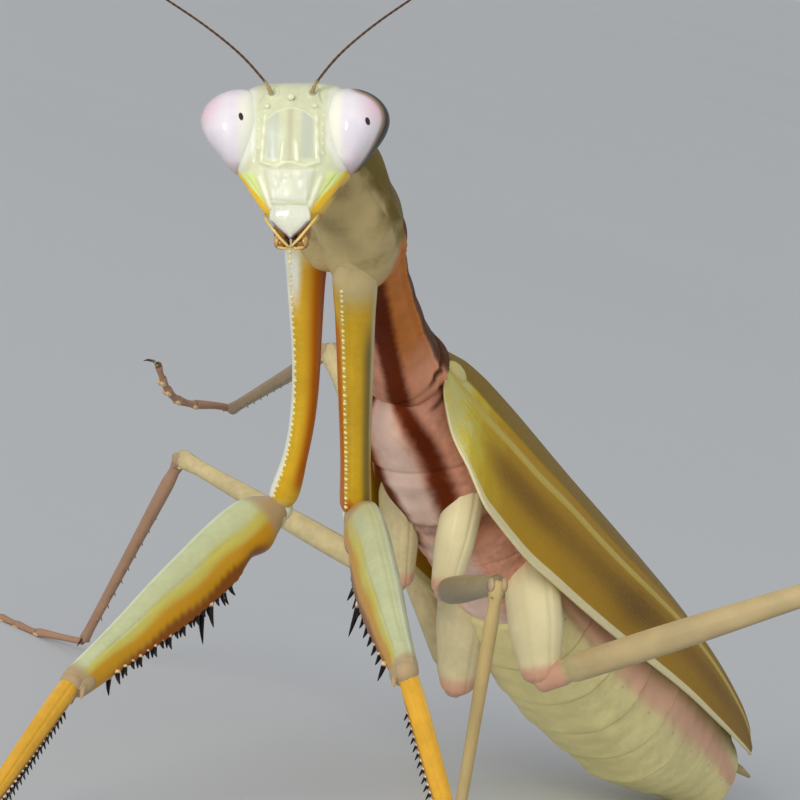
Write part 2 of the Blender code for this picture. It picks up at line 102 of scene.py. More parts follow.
def axes(yaw, pitch, roll):
    """Left, rear and dorsal directions of a piece that slopes down to the rear, from three angles."""
    yaw, pitch, roll = np.radians((yaw, pitch, roll))
    rear = vec(math.sin(yaw) * math.cos(pitch), math.cos(yaw) * math.cos(pitch), -math.sin(pitch))
    left = unit(np.cross((0, 0, 1), -rear))
    up = np.cross(-rear, left)
    return left * math.cos(roll) + up * math.sin(roll), rear, up * math.cos(roll) - left * math.sin(roll)


ABDOMEN_AXES = axes(0, 27.2, 13.3)
PROTHORAX_AXES = axes(-17.2, 32.5, -16.4)
HEAD_TURN = math.radians(30.2)
LEVEL_SHARE = 0.99
LIFT_SHARE = 0.14
FACE = unit(vec(math.sin(HEAD_TURN) * LEVEL_SHARE, -math.cos(HEAD_TURN) * LEVEL_SHARE, LIFT_SHARE))
CROWN_LEAN = vec(-0.278, -0.084, 0.957)
CROWN = unit(CROWN_LEAN - FACE * CROWN_LEAN.dot(FACE))
HEAD_LEFT = unit(np.cross(CROWN, FACE))
HEAD_AXES = (HEAD_LEFT, FACE, CROWN)
print("face", FACE.round(2), "crown", CROWN.round(2), "left", HEAD_LEFT.round(2))

# %% [markdown]
# Nearly every plate is a bent, swelling tube. It could be lofted through hundreds of rings, or shaped
# from a few. Here a table of a few sections gives the size along the length, and a smooth curve
# through the table gives every ring between. The curve is monotone, so it never swells past its rows.


# %% A smooth curve through a table
def smooth(rows, t):
    """A monotone cubic curve through each column of a table whose first column is the place."""
    rows = np.array(rows, float)
    x, y = rows[:, 0], rows[:, 1:]
    slope = np.diff(y, axis=0) / np.diff(x)[:, None]
    tangent = np.zeros_like(y)
    tangent[0], tangent[-1] = slope[0], slope[-1]
    for i in range(1, len(x) - 1):
        same = slope[i - 1] * slope[i] > 0
        total = np.where(same, slope[i - 1] + slope[i], 1.0)
        tangent[i] = np.where(same, 2 * slope[i - 1] * slope[i] / total, 0.0)
    k = np.clip(np.searchsorted(x, t) - 1, 0, len(x) - 2)
    gap = (x[k + 1] - x[k])[:, None]
    s = ((t - x[k]) / (x[k + 1] - x[k]))[:, None]
    start = y[k] * (2 * s**3 - 3 * s**2 + 1) + tangent[k] * gap * (s**3 - 2 * s**2 + s)
    return start + y[k + 1] * (3 * s**2 - 2 * s**3) + tangent[k + 1] * gap * (s**3 - s**2)


print("between 1 and 3:", smooth([(0, 1), (1, 3), (2, 4)], vec(0.25, 0.5, 0.75)).round(2).tolist())

# %% [markdown]
# Fine relief, such as ridges and folds, and the places of the colours are small functions of place
# that run from 0 to 1. They could be painted as maps, but a bell, a step and a band round a limb are
# enough for every groove, ridge and stripe of this animal, and they stay sharp at any size.


# %% Bells, steps and bands
def bell(x, width):
    """1 at zero, falling away over width."""
    return np.exp(-(x / width) ** 2)


def step(x, a, b):
    """0 before a, 1 after b, and a soft step between."""
    s = np.clip((x - a) / (b - a), 0, 1)
    return s * s * (3 - 2 * s)


def within(angle, centre, half, soft=10.0):
    """1 where an angle round a limb, in degrees, lies within half of centre."""
    away = np.abs((np.degrees(angle) - centre + 180) % 360 - 180)
    return step(half - away, -soft, soft)


print("half way up a step:", step(0.5, 0.0, 1.0), " one width off a bell:", round(bell(1.0, 1.0), 3))

# %% [markdown]
# A plate's section is an oval, often a little square, and not equally deep above and below. A
# superellipse covers all of these with one number for its squareness. Relief then moves the finished
# skin along its own normal, which gives real ridges that catch the light at their edges.


# %% Rings and relief
def rings(centre, side, up, radii, around, square=2.0):
    """Superellipse rings and their angles; radii are half width, height above and height below."""
    angle = np.arange(around) * 2 * np.pi / around
    c, s = np.cos(angle), np.sin(angle)
    x = np.sign(c) * np.abs(c) ** (2 / square)
    y = np.sign(s) * np.abs(s) ** (2 / square)
    wide = radii[:, :1] * x
    high = np.where(s > 0, radii[:, 1:2], radii[:, 2:3]) * y
    return centre[:, None] + side[:, None] * wide[..., None] + up[:, None] * high[..., None], angle


def puff(grid, amount):
    """Moves a closed tube's skin along its normal by amount, in mm."""
    du = np.roll(grid, -1, axis=1) - np.roll(grid, 1, axis=1)
    dv = np.gradient(grid, axis=0)
    normal = np.cross(du, dv)
    normal /= np.linalg.norm(normal, axis=2, keepdims=True) + 1e-12
    if ((grid - grid.mean(axis=1, keepdims=True)) * normal).sum() < 0:
        normal = -normal
    return grid + normal * amount[..., None]


ring, _ = rings(np.zeros((1, 3)), np.eye(3)[:1], np.eye(3)[1:2], np.ones((1, 3)), 12)
print("a ring of", ring.shape[1], "points, reaching", np.abs(ring).max())

# %% [markdown]
# A piece such as a leg is one tube with many small parts grown on it: spines, pads, lobes. Each could
# be an object of its own, but then a leg would be dozens of objects. This class gathers the tubes in
# one mesh, and keeps a number at each vertex for every colour mask, so that one material paints all.


# %% Tubes gathered in one mesh
class Gathered:
    """Collects closed tubes, and makes them one mesh with masks at each vertex."""

    def __init__(self, *masks):
        self.verts, self.faces, self.count = [], [], 0
        self.masks = {mask: [] for mask in masks}

    def grid(self, points, **masks):
        """A tube given as rows of points, closed at both ends, with the masks that lie on it."""
        m, n = points.shape[:2]
        ids = np.arange(m * n).reshape(m, n) + self.count
        right = np.roll(ids, -1, axis=1)
        self.faces += np.stack([ids[:-1], right[:-1], right[1:], ids[1:]], axis=-1).reshape(-1, 4).tolist()
        self.faces += [ids[0, ::-1].tolist(), ids[-1].tolist()]
        self.verts.append(points.reshape(-1, 3))
        for name, store in self.masks.items():
            value = np.asarray(masks.get(name, 0.0), float)
            value = value[:, None] if value.ndim == 1 else value
            store.append(np.broadcast_to(value, (m, n)).reshape(-1))
        self.count += m * n

    def make(self, name, material, replaces, slot):
        """The finished piece, never lower than the floor."""
        points = np.concatenate(self.verts)
        points[:, 2] = np.maximum(points[:, 2], 0.0)
        mesh = bpy.data.meshes.new(name)
        mesh.from_pydata(((points + ORIGIN) * MM).tolist(), [], self.faces)
        for mask, store in self.masks.items():
            mesh.attributes.new(mask, "FLOAT", "POINT").data.foreach_set("value", np.concatenate(store))
        mesh.polygons.foreach_set("use_smooth", [True] * len(mesh.polygons))
        mesh.materials.append(material)
        mesh.update()
        piece = bpy.data.objects.new(name, mesh)
        bpy.context.scene.collection.objects.link(piece)
        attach(piece, "root")
        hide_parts(replaces)
        print(name, len(points), "vertices")


print("methods so far:", [name for name in vars(Gathered) if not name.startswith("_")])

# %% [markdown]
# Spines, palps, claws and pads are all small tubes or balls. Cones and spheres from the menu would
# need to be placed and joined one by one. These three methods make them from a place and a size, as
# more tubes of the same piece.


# %% A shape with tubes, spines and balls
class Shape(Gathered):
    """A piece on which round tubes, tapered spines and ellipsoids can be grown."""

    def tube(self, places, radius, around=12, **masks):
        """A round tube through places, with one radius or one for each place."""
        places = np.array(places, float)
        along = np.gradient(places, axis=0)
        along /= np.linalg.norm(along, axis=1, keepdims=True)
        side = np.cross(along, vec(0.31, 0.17, 0.93))
        side /= np.linalg.norm(side, axis=1, keepdims=True)
        r = np.broadcast_to(np.asarray(radius, float), (len(places),))[:, None]
        self.grid(rings(places, side, np.cross(side, along), np.hstack([r, r, r]), around)[0], **masks)

    def spine(self, root, tip, radius, toward=vec(0, 0, 0), dark=1.0, **masks):
        """A spine that tapers, bends a little toward a side, and darkens to its tip."""
        t = np.linspace(0, 1, 9)
        line = root + (tip - root) * t[:, None] + toward * (np.sin(t * np.pi) * 0.5)[:, None]
        taper = radius * (1 - t) ** 0.7 + 0.012
        self.tube(line, taper, 8, dark=step(t, 0.05, 0.30) * dark, **masks)

    def ball(self, centre, radii, basis=np.eye(3), around=14, **masks):
        """An ellipsoid with its three radii along basis."""
        r = np.broadcast_to(np.asarray(radii, float), (3,))
        height = np.sin(np.linspace(-0.5, 0.5, around) * np.pi * 0.985)
        wide = np.sqrt(1 - height**2)
        flat = np.ones((around, 1))
        middle = centre + basis[2] * (height * r[2])[:, None]
        self.grid(rings(middle, flat * basis[0], flat * basis[1],
                        np.stack([wide * r[0], wide * r[1], wide * r[1]], 1), around)[0], **masks)


thorn = Shape("dark")
thorn.spine(vec(0, 0, 0), vec(0, 0, 1), 0.1)
print("a spine has", thorn.count, "vertices and", len(thorn.faces), "faces")

# %% [markdown]
# Materials are procedural: they are worked out from place and from masks alone. Their maths could be
# wired node by node, but Python reads better. This small class wraps a socket, turns + - and * into
# Math nodes, and has a soft step for the edges of markings.


# %% A socket that does arithmetic
class Value:
    """The output of a node, as something that can be added, subtracted and multiplied."""

    def __init__(self, paint, socket):
        self.paint, self.socket = paint, socket

    def _math(self, kind, a, b):
        return self.paint.add("ShaderNodeMath", {"operation": kind}, {0: a, 1: b})

    def __add__(self, other):
        return self._math("ADD", self, other)

    def __sub__(self, other):
        return self._math("SUBTRACT", self, other)

    def __rsub__(self, other):
        return self._math("SUBTRACT", other, self)

    def __mul__(self, other):
        return self._math("MULTIPLY", self, other)

    __radd__, __rmul__ = __add__, __mul__

    def between(self, low, high):
        """0 below low, 1 above high, and a soft step between."""
        limits = {"Value": self, "From Min": low, "From Max": high}
        return self.paint.add("ShaderNodeMapRange", {"interpolation_type": "SMOOTHSTEP"}, limits)


print("reflected operators:", [name for name in vars(Value) if name.startswith("__r")])

# %% [markdown]
# A material is a Principled shader with a few sockets that vary over the surface. Everything uniform,
# such as the coat or the light that soaks in, is set once as a number. One method adds any node, and
# colours are blended only by Mix nodes, because a Math node would turn them grey.


# %% A material made of such sockets
class Nodes:
    """A new material, its shader, and a way to add any node."""

    def __init__(self, name, roughness=0.4, subsurface=0.0, coat=0.0, shine=0.5, coat_roughness=0.10):
        self.material = bpy.data.materials.new(name)
        self.material.use_nodes = True
        self.tree = self.material.node_tree
        self.shader = self.tree.nodes["Principled BSDF"]
        uniform = {"Roughness": roughness, "Subsurface Weight": subsurface, "Subsurface Scale": 0.5 * MM,
                   "Subsurface Radius": (1.0, 0.75, 0.45), "Coat Weight": coat,
                   "Coat Roughness": coat_roughness, "Specular IOR Level": shine}
        for socket, value in uniform.items():
            self.shader.inputs[socket].default_value = value
        self.place = self.add("ShaderNodeTexCoord", {}, {}, "Object")

    def add(self, kind, settings, sockets, output=0):
        """Any node: its type, its settings first, then the values or links of its sockets."""
        node = self.tree.nodes.new(kind)
        for key, value in settings.items():
            setattr(node, key, value)
        for key, value in sockets.items():
            if isinstance(value, Value):
                self.tree.links.new(value.socket, node.inputs[key])
            else:
                node.inputs[key].default_value = (*value, 1.0) if isinstance(value, tuple) else value
        return Value(self, node.outputs[output])

    def finish(self, **sockets):
        """Joins what varies to the shader, and gives the material."""
        for key, value in sockets.items():
            self.tree.links.new(value.socket, self.shader.inputs[key.replace("_", " ")])
        return self.material


print("methods so far:", [name for name in vars(Nodes) if not name.startswith("_")])

# %% [markdown]
# Nearly every finish is built of the same few things: a mask, two sorts of noise, a blend of two
# colours, a run of colours, and bump. They could be written out each time, but short names keep the
# recipes readable. Colours are given as they look on a screen, and turned into linear light.


# %% The nodes of a finish
class Paint(Nodes):
    """A material with short names for the nodes that its finish is made of."""

    def mask(self, name):
        """The number that a piece keeps at each vertex under name."""
        return self.add("ShaderNodeAttribute", {"attribute_name": name}, {}, "Fac")

    def noise(self, per_mm, detail=3.0):
        """Soft clouds, about per_mm of them in a millimetre."""
        return self.add("ShaderNodeTexNoise", {}, {"Vector": self.place, "Scale": per_mm / MM,
                                                   "Detail": detail})

    def cells(self, per_mm):
        """The distance to the middle of small cells, per_mm of them in a millimetre."""
        return self.add("ShaderNodeTexVoronoi", {}, {"Vector": self.place, "Scale": per_mm / MM})

    def mix(self, a, b, factor):
        """Colour a where factor is 0, and colour b where it is 1."""
        return self.add("ShaderNodeMix", {"data_type": "RGBA"}, {0: factor, 6: a, 7: b}, 2)

    def ramp(self, value, stops):
        """One colour after another along a value, each blended into the next."""
        tone = stops[0][1]
        for (a, _), (b, colour) in zip(stops, stops[1:]):
            tone = self.mix(tone, colour, value.between(a, b))
        return tone

    def bump(self, height, strength, depth):
        """A normal that follows height, up to depth mm high."""
        return self.add("ShaderNodeBump", {}, {"Height": height, "Strength": strength,
                                               "Distance": depth * MM}, "Normal")


def rgb(*screen):
    """A colour as it looks on screen, turned into the linear light that nodes use."""
    return tuple(c / 12.92 if c <= 0.04045 else ((c + 0.055) / 1.055) ** 2.4 for c in screen)


print("mid grey in linear light:", round(rgb(0.5, 0.5, 0.5)[0], 3))

# %% [markdown]
# Cuticle is waxy, slightly see-through and never one flat colour: it has cloudy mottling, fine
# pitting and a shine that breaks up. It could be one material for each part, but the recipe is the
# same for all of them. It starts from a base colour and lays coloured masks over it, each with a
# ragged edge. Pits are bump, because they are too small for the mesh.


# %% The cuticle recipe
PIT_DEPTH = 0.03


def darker(colour, share):
    """The colour with a share of its light taken away."""
    return tuple(c * (1 - share) for c in colour)


def cuticle(name, base, layers, roughness, subsurface, cloud=0.20, ragged=0.22, coat=0.0, shine=0.25):
    """A cuticle whose masks, from first to last, are painted over base."""
    paint = Paint(name, roughness, subsurface, coat, shine)
    big = paint.noise(0.45, 4.0)
    fine = paint.noise(2.4, 5.0)
    light = tuple(min(1.0, c * (1 + cloud)) for c in base)
    colour = paint.mix(darker(base, cloud), light, (big * 0.6 + fine * 0.4).between(0.30, 0.70))
    for mask, tint in layers.items():
        edge = paint.mask(mask) + (fine - 0.5) * ragged
        cloudy_tint = paint.mix(darker(tint, 0.7 * cloud), tint, big.between(0.35, 0.65))
        colour = paint.mix(colour, cloudy_tint, edge.between(0.1, 0.9))
    height = paint.cells(9.0) * 0.5 + fine * 0.6
    gloss = roughness + (fine - 0.5) * 0.25
    return paint.finish(Base_Color=colour, Roughness=gloss, Normal=paint.bump(height, 0.22, PIT_DEPTH))


print("a tint and its cloudy shade:", (0.8, 0.6, 0.3), darker((0.8, 0.6, 0.3), 0.2))

# %% [markdown]
# The head is the part that people look at. Its cuticle is cream and waxy, milky next to the eyes, with
# pale raised lines, a green tinge on the cheeks, and gold with brown spots along their edge. Each of
# these could be a material of its own, but then they would meet in hard lines. So each is a tint over
# a mask, and the shape says where it goes.

# %% Tints of the head
HEAD_TINTS = {"glass": rgb(0.75, 0.77, 0.70), "tan": rgb(0.76, 0.73, 0.60), "milk": rgb(0.89, 0.89, 0.83),
              "line": rgb(0.93, 0.92, 0.80), "green": rgb(0.87, 0.91, 0.58), "gold": rgb(0.96, 0.78, 0.18),
              "dark": rgb(0.62, 0.36, 0.08)}
head_skin = cuticle("head_cuticle", rgb(0.82, 0.83, 0.69), HEAD_TINTS, 0.34, 0.3, cloud=0.07, ragged=0.12,
                    coat=0.15, shine=0.4)
print(head_skin.name, "has", len(head_skin.node_tree.nodes), "nodes")

# %% [markdown]
# The capsule is a blunt triangle, flat in front. It could be carved from a block, but it is nearly
# symmetrical and stands on one axis, so it is built as level rings from the mouth to the crown. The
# rings are squarer than an ellipse, which gives the flat face.


# %% Head capsule
def at_head(x, y, z):
    """x to the mantis's left, y forward out of the face, z to the crown."""
    x, y, z = np.asarray(x, float), np.asarray(y, float), np.asarray(z, float)
    return HEAD + x[..., None] * HEAD_LEFT + y[..., None] * FACE + z[..., None] * CROWN


def in_head(points):
    """The same three measures, read back from points."""
    return [np.tensordot(points - HEAD, axis, 1) for axis in HEAD_AXES]


HEAD_ROWS = [  # height, half width, middle, ahead, behind
    (-3.05, 0.55, 0.1, 0.75, 0.7), (-2.9, 1.02, 0.1, 1.25, 1.1), (-2.6, 1.38, 0.15, 1.52, 1.4),
    (-1.8, 1.98, 0.1, 1.62, 1.6), (-1.0, 2.52, 0.0, 1.70, 1.8), (-0.45, 2.88, 0.0, 1.72, 1.9),
    (0.2, 2.95, 0.0, 1.72, 1.9), (1.0, 2.85, 0.0, 1.70, 1.9), (2.6, 2.72, -0.1, 1.62, 1.6),
    (3.3, 2.76, -0.2, 1.44, 1.35), (3.7, 2.66, -0.25, 1.22, 1.1), (4.0, 2.28, -0.3, 0.90, 0.8),
    (4.17, 1.66, -0.3, 0.58, 0.5), (4.25, 0.70, -0.3, 0.25, 0.25), (4.27, 0.15, -0.3, 0.06, 0.06)]
level = np.concatenate([np.linspace(-3.05, -2.6, 20), np.linspace(-2.58, 3.5, 190),
                        np.linspace(3.52, 4.27, 40)])
sizes = smooth(HEAD_ROWS, level)
flat = np.ones((len(level), 1))
skull, _ = rings(at_head(0 * level, sizes[:, 1], level), flat * HEAD_LEFT, flat * FACE,
                 sizes[:, [0, 2, 3]], 320, 2.5)
X, Y, Z = in_head(skull)
aside = np.abs(X)
front = step(Y, 0.1, 0.9)
print("head capsule rings:", skull.shape)

# %% [markdown]
# Each line of the face is a distance from some curve, turned into a narrow bell. The frontal shield
# is five sided, wider at its foot, with a small peak where the middle ocellus sits. Two inner lines
# close in towards the top, and the panes between them are thinner and greyer than the lines.

# %% The frontal shield
shield_half = 1.30 + 0.07 * (2.4 - Z)
shoulder = 2.55 - 0.75 * np.clip(aside - 0.75, 0, 1) + 0.22 * bell(X, 0.6)
inside = step(shield_half - aside, -0.05, 0.10) * step(Z, -0.14, 0.0) * step(shoulder - Z, -0.05, 0.15)
outer_line = bell(aside - shield_half, 0.095) * step(Z, -0.2, 0.0) * step(2.5 - Z, -0.2, 0.3)
inner_half = 0.44 - 0.09 * Z
inner_line = bell(aside - inner_half, 0.08) * step(Z, -0.12, 0.1) * step(1.35 - Z, 0.0, 0.6)
top_line = bell(Z - shoulder, 0.08) * step(shield_half - aside, -0.1, 0.15)
foot_line = bell(Z + 0.12 - 0.09 * np.cos(4.2 * X), 0.10) * step(1.62 - aside, 0.0, 0.3)
relief = 0.04 * inside + 0.060 * outer_line + 0.035 * inner_line + 0.045 * top_line + 0.045 * foot_line
sunk_panes = 0.04 * bell(aside - 0.90, 0.34) * inside * step(2.2 - Z, 0.0, 1.2)
relief -= sunk_panes + 0.06 * bell(Z + 0.30, 0.10) * step(1.6 - aside, 0, 0.4)
relief += 0.02 * bell(aside - 1.62, 0.07) * step(Z, 0.2, 0.6) * step(2.4 - Z, 0, 0.5)
relief -= 0.03 * bell(aside - 1.78, 0.12) * step(Z, -0.2, 0.2) * step(2.8 - Z, 0, 0.6)
print("shield relief from", relief.min().round(3), "to", relief.max().round(3), "mm")

# %% [markdown]
# Below the shield lies the clypeus, a wide low plate with a few swellings. Rows of tiny beads run
# beside the shield, and each cheek has a raised band and a rolled edge next to the eye. They could
# be separate scales, but on the animal they are folds of one plate, so they are relief too.

# %% Clypeus, beads and cheeks
clypeus_half = 1.36 + 0.20 * (Z + 0.35)
clypeus = step(clypeus_half - aside, -0.05, 0.25) * step(-Z, 0.22, 0.45) * step(Z, -2.25, -1.95)
relief += 0.11 * clypeus * (1 - 0.4 * (aside / 1.3) ** 2) + 0.025 * bell(aside - 0.86, 0.08) * clypeus
LOBES = ((-0.55, -0.62, 0.24), (0.52, -0.62, 0.24), (-0.66, -1.15, 0.20), (0.66, -1.15, 0.20),
         (0.0, -1.50, 0.40), (-0.05, -0.75, 0.16))  # across, height, size
lobes = [bell(np.hypot(X - across, (Z - height) * 0.7), size) for across, height, size in LOBES]
lobes = np.maximum.reduce(lobes) * front
bead_row = bell(aside - 1.66 - 0.03 * np.sin(3 * Z), 0.06) * np.clip(np.sin(13 * Z + X), 0, 1)
beads = bead_row * step(Z, 0.1, 0.4) * step(2.7 - Z, 0, 0.3)
relief += 0.085 * lobes + 0.035 * beads
relief -= 0.035 * bell(Z + 2.05 - 0.10 * aside, 0.08) * step(1.15 - aside, 0.0, 0.3)
band = aside - (1.66 + 0.40 * (Z + 0.6))
cheek_band = bell(band, 0.15) * step(-Z, 0.5, 0.9) * step(Z, -2.6, -2.1)
relief += 0.06 * cheek_band
cheek_edge = 2.92 + 0.70 * (Z + 0.45)
rim = np.abs(cheek_edge - aside)
relief += 0.04 * bell(rim - 0.12, 0.10) * step(-Z, 0.35, 0.7) * step(Z, -2.8, -2.4)
relief -= 0.03 * bell(rim - 0.48, 0.07) * step(-Z, 0.45, 0.8) * step(Z, -2.4, -2.0)
print("with clypeus and cheeks from", relief.min().round(3), "to", relief.max().round(3), "mm")

# %% [markdown]
# Above the shield are the antennal sockets and the vertex, which is gently lobed. A slanting groove
# runs up beside each antenna. Near the eyes the cuticle swells a little, so that head and eye flow
# into each other. Only the front is moved, because the back of the head is smooth.

# %% Vertex and sockets
for sign in SIDE.values():
    socket = np.hypot(X - sign * 1.05, Z - 3.62)
    relief += front * (0.09 * bell(socket - 0.26, 0.08) - 0.10 * bell(socket, 0.16))
    groove = bell(X - sign * (1.62 - 0.35 * (Z - 3.0)), 0.08) * step(Z, 2.9, 3.3)
    relief -= front * 0.085 * groove
    relief += front * 0.06 * bell(np.hypot(X - sign * 1.36, Z - 2.72), 0.14)
    relief += 0.05 * bell(np.hypot((X - sign * 0.62) / 0.5, (Z - 4.0) / 0.25), 1.0)
relief -= front * 0.04 * bell(aside - 0.30 - 0.14 * (4.2 - Z), 0.05) * step(Z, 3.3, 3.8)
relief += front * 0.06 * bell(np.hypot(X, Z - 3.15), 0.26)
eye_side = 2.05 + 0.55 * np.clip(0.8 - Z, 0, 1.2)
relief += 0.12 * bell(aside - eye_side - 0.02, 0.45) * step(Z, -0.6, 0.1) * step(3.7 - Z, 0, 0.6)
skull = puff(skull, relief * front)
print("all relief from", relief.min().round(3), "to", relief.max().round(3), "mm")

# %% [markdown]
# The same distances say where the tints go: milk near the eyes, green on the cheeks, gold and brown
# spots along their edge. Three bead-like ocelli, the simple eyes of the mantis, are small balls set
# into the brow.

# %% The head's masks and ocelli
ragged_line = 0.75 + 0.25 * np.sin(9 * Z + 5 * X)
lines = [0.9 * outer_line * ragged_line, 0.7 * inner_line, 0.45 * top_line, 0.6 * foot_line,
         0.8 * cheek_band, 0.45 * lobes, 0.7 * beads]
milk = step(aside - (eye_side - 0.55), 0.0, 0.65) * step(Z, -0.9, -0.2) * step(4.4 - Z, 0.0, 1.0)
cheek = step(-Z, 0.15, 0.8) * step(band, -0.05, 0.35) * front
gold = step(0.30 + 0.26 * step(-Z, 0.8, 2.2) - rim, -0.10, 0.20) * step(-Z, 0.05, 0.45)
spots = bell(rim - 0.02, 0.05) * step(-Z, 0.35, 0.6) * (0.5 + 0.5 * np.sin(4.1 * Z + 1.0))
spots = np.maximum(spots, 0.9 * bell(np.hypot(aside - 1.42, Z + 2.62), 0.16))
pane = inside * step(np.abs(aside - 0.88), 0.55, 0.15) * front * step(Z, 0.0, 0.3)
head = Shape(*HEAD_TINTS)
head.grid(skull, green=0.9 * cheek, glass=0.7 * pane, tan=0.7 * inside * bell(X, 0.22),
          milk=np.maximum(milk, 0.55 * clypeus), line=np.maximum.reduce(lines) * front, gold=gold,
          dark=np.clip(0.75 * spots, 0, 1))
for x, y, height, size in ((-1.22, 1.42, 2.86, 0.16), (1.22, 1.42, 2.86, 0.16), (0.0, 1.48, 3.32, 0.19)):
    head.ball(at_head(x, y, height), (size, 0.09, size * 0.85), HEAD_AXES, 16, line=0.5)
head.make("head_capsule", head_skin, "head", "cream_cuticle")

# %% [markdown]
# A compound eye is thousands of lenses, so its surface is satin under a thin clear glaze. Inside it is
# a cloudy lilac grey, pinker above and cream next to the head. The small dark spot is the pseudopupil,
# the few lenses that look straight at the viewer. The dark rim behind is the eye's own colour, widened on
# the left eye by painted shade. The coat fades at the rim, so that no highlight sits there.

# %% Eye surface
LILAC = rgb(0.87, 0.84, 0.87)
PALE_LILAC = rgb(0.92, 0.89, 0.90)
eye = Paint("eye_surface", 0.30, 0.3, 1.0, 0.25, coat_roughness=0.04)
cloudy = eye.noise(0.5, 4.0)
rim_and_shade_mask = eye.mask("rim")
blush = (eye.mask("blush") + (cloudy - 0.5) * 0.7).between(0.2, 1.1)
low = (eye.mask("low") + (cloudy - 0.5) * 0.5).between(0.2, 1.2)
tone = eye.mix(LILAC, PALE_LILAC, cloudy.between(0.35, 0.65))
for tint, share in ((rgb(0.90, 0.74, 0.79), blush),
                    (rgb(0.95, 0.94, 0.87), eye.mask("inner").between(0.1, 0.9)),
                    (rgb(0.78, 0.68, 0.68), low),
                    # tan, then dark brown behind: the eye's own dark rim, and on the left eye also painted
                    # shade
                    (rgb(0.62, 0.53, 0.41), rim_and_shade_mask.between(0.05, 0.35)),
                    (rgb(0.16, 0.10, 0.07), rim_and_shade_mask.between(0.30, 0.75)),
                    (rgb(0.20, 0.05, 0.08), eye.mask("pupil").between(0.40, 0.60))):
    tone = eye.mix(tone, tint, share)
lens = eye.cells(22.0)
eye_skin = eye.finish(Base_Color=tone, Normal=eye.bump(lens, 0.08, 0.01), Roughness=0.32 + lens * 0.15,
                      Coat_Weight=1 - rim_and_shade_mask.between(0.1, 0.5) * 0.95)
print(eye_skin.name, "has", len(eye_skin.node_tree.nodes), "nodes")

# %% [markdown]
# The eye is a rounded cone that points down along the cheek and leans out at the top. A sphere would
# look like a fly's. Level rings between an inner and an outer edge give the cone, and the table is
# smoothed many times over, because a glossy surface shows the smallest dent.

# %% Eyes
EYE_ROWS = [  # height from -1 to 1, inner edge, outer edge
    (-1.0, 2.78, 2.93), (-0.93, 2.52, 3.18), (-0.78, 2.22, 3.50), (-0.5, 1.92, 3.98), (-0.2, 1.62, 4.50),
    (0.1, 1.45, 4.82), (0.3, 1.42, 4.88), (0.6, 1.55, 4.62), (0.82, 1.80, 4.12), (0.95, 2.15, 3.50),
    (1.0, 2.72, 2.95)]
SMOOTHINGS = 60
EYE_WAIST = 0.06
EYE_MIDDLE = 1.72
EYE_HALF_HEIGHT = 2.2
PUPILS = {"right": (-2.50, 2.30), "left": (3.96, 2.02)}
# How far forward the dark rim reaches; on the left eye it is widened by painted shade.
RIM_AND_SHADE_START = {"left": 1.45, "right": 0.6}
height = np.sin(np.linspace(-1, 1, 130) * np.pi / 2 * 0.995)
edges = smooth(EYE_ROWS, height)
for _ in range(SMOOTHINGS):
    edges[1:-1] = (edges[:-2] + 2 * edges[1:-1] + edges[2:]) / 4
middle = (edges[:, 0] + edges[:, 1]) / 2
half = (edges[:, 1] - edges[:, 0]) / 2
reach = np.where(height > EYE_WAIST, 1 - EYE_WAIST, 1 + EYE_WAIST)
bulge = np.sqrt(1.001 - ((height - EYE_WAIST) / reach) ** 2)
flat = np.ones((len(height), 1))
for side, sign in SIDE.items():
    globe, _ = rings(at_head(sign * middle, 0 * height, EYE_MIDDLE + EYE_HALF_HEIGHT * height),
                     flat * HEAD_LEFT, flat * FACE, np.stack([half, 1.97 * bulge, 1.82 * bulge], 1), 160, 2.1)
    X, Y, Z = in_head(globe)
    dx, dz = X - PUPILS[side][0], Z - PUPILS[side][1]
    from_pupil = np.hypot((dx * 0.97 + dz * 0.22) / 0.13, (dz * 0.97 - dx * 0.22) / 0.25)
    out = X * sign
    upper_blush = step(out, 2.6, 4.4) * step(Z, 0.8, 2.8) * 0.8
    rim_and_shade_front = RIM_AND_SHADE_START[side] - 0.45 * step(1.6 - Z, 0, 1.6)
    piece = Shape("blush", "inner", "low", "rim", "pupil")
    piece.grid(globe, blush=upper_blush + 0.5 * bell(np.hypot(out - 3.3, Z - 0.3), 0.5),
               inner=step(2.9 - out, -0.3, 0.9), low=step(0.7 - Z, 0.0, 1.2),
               rim=step(rim_and_shade_front - Y, 0.0, 1.3) * step(out, 2.6, 3.6), pupil=bell(from_pupil, 1.0) * (Y > 0))
    piece.make("eye_" + side + "_globe", eye_skin, "eye_" + side, "eye")

# %% [markdown]
# Below the clypeus hang the mouthparts. The upper lip is a pale flap with a pointed lower edge and a
# violet hem. It could be a flat card, but it bulges over the jaws, so it is a thin closed tube of
# level rings, with a low ridge down its middle and a groove along its edge.

# %% Upper lip
MOUTH_TINTS = {"pale": rgb(0.88, 0.88, 0.80), "violet": rgb(0.55, 0.48, 0.50), "palp": rgb(0.90, 0.78, 0.46),
               "dark": rgb(0.20, 0.11, 0.04)}
mouth_skin = cuticle("mouth_cuticle", rgb(0.66, 0.43, 0.14), MOUTH_TINTS, 0.25, 0.12, coat=0.3, shine=0.5)
mouth = Shape(*MOUTH_TINTS)
LIP_ROWS = [(0.0, 0.80), (0.25, 1.02), (0.42, 1.06), (0.6, 0.88), (0.8, 0.50), (0.93, 0.20), (1.0, 0.05)]
LIP_TOP = -2.06
LIP_LENGTH = 1.80
LIP_RINGS = 60
t = np.linspace(0, 1, LIP_RINGS)
half = smooth(LIP_ROWS, t)[:, 0]
flat = np.ones((LIP_RINGS, 1))
depth = 1.46 + 0.14 * np.sin(np.pi * np.clip(t * 1.1, 0, 1)) - 0.30 * t**2
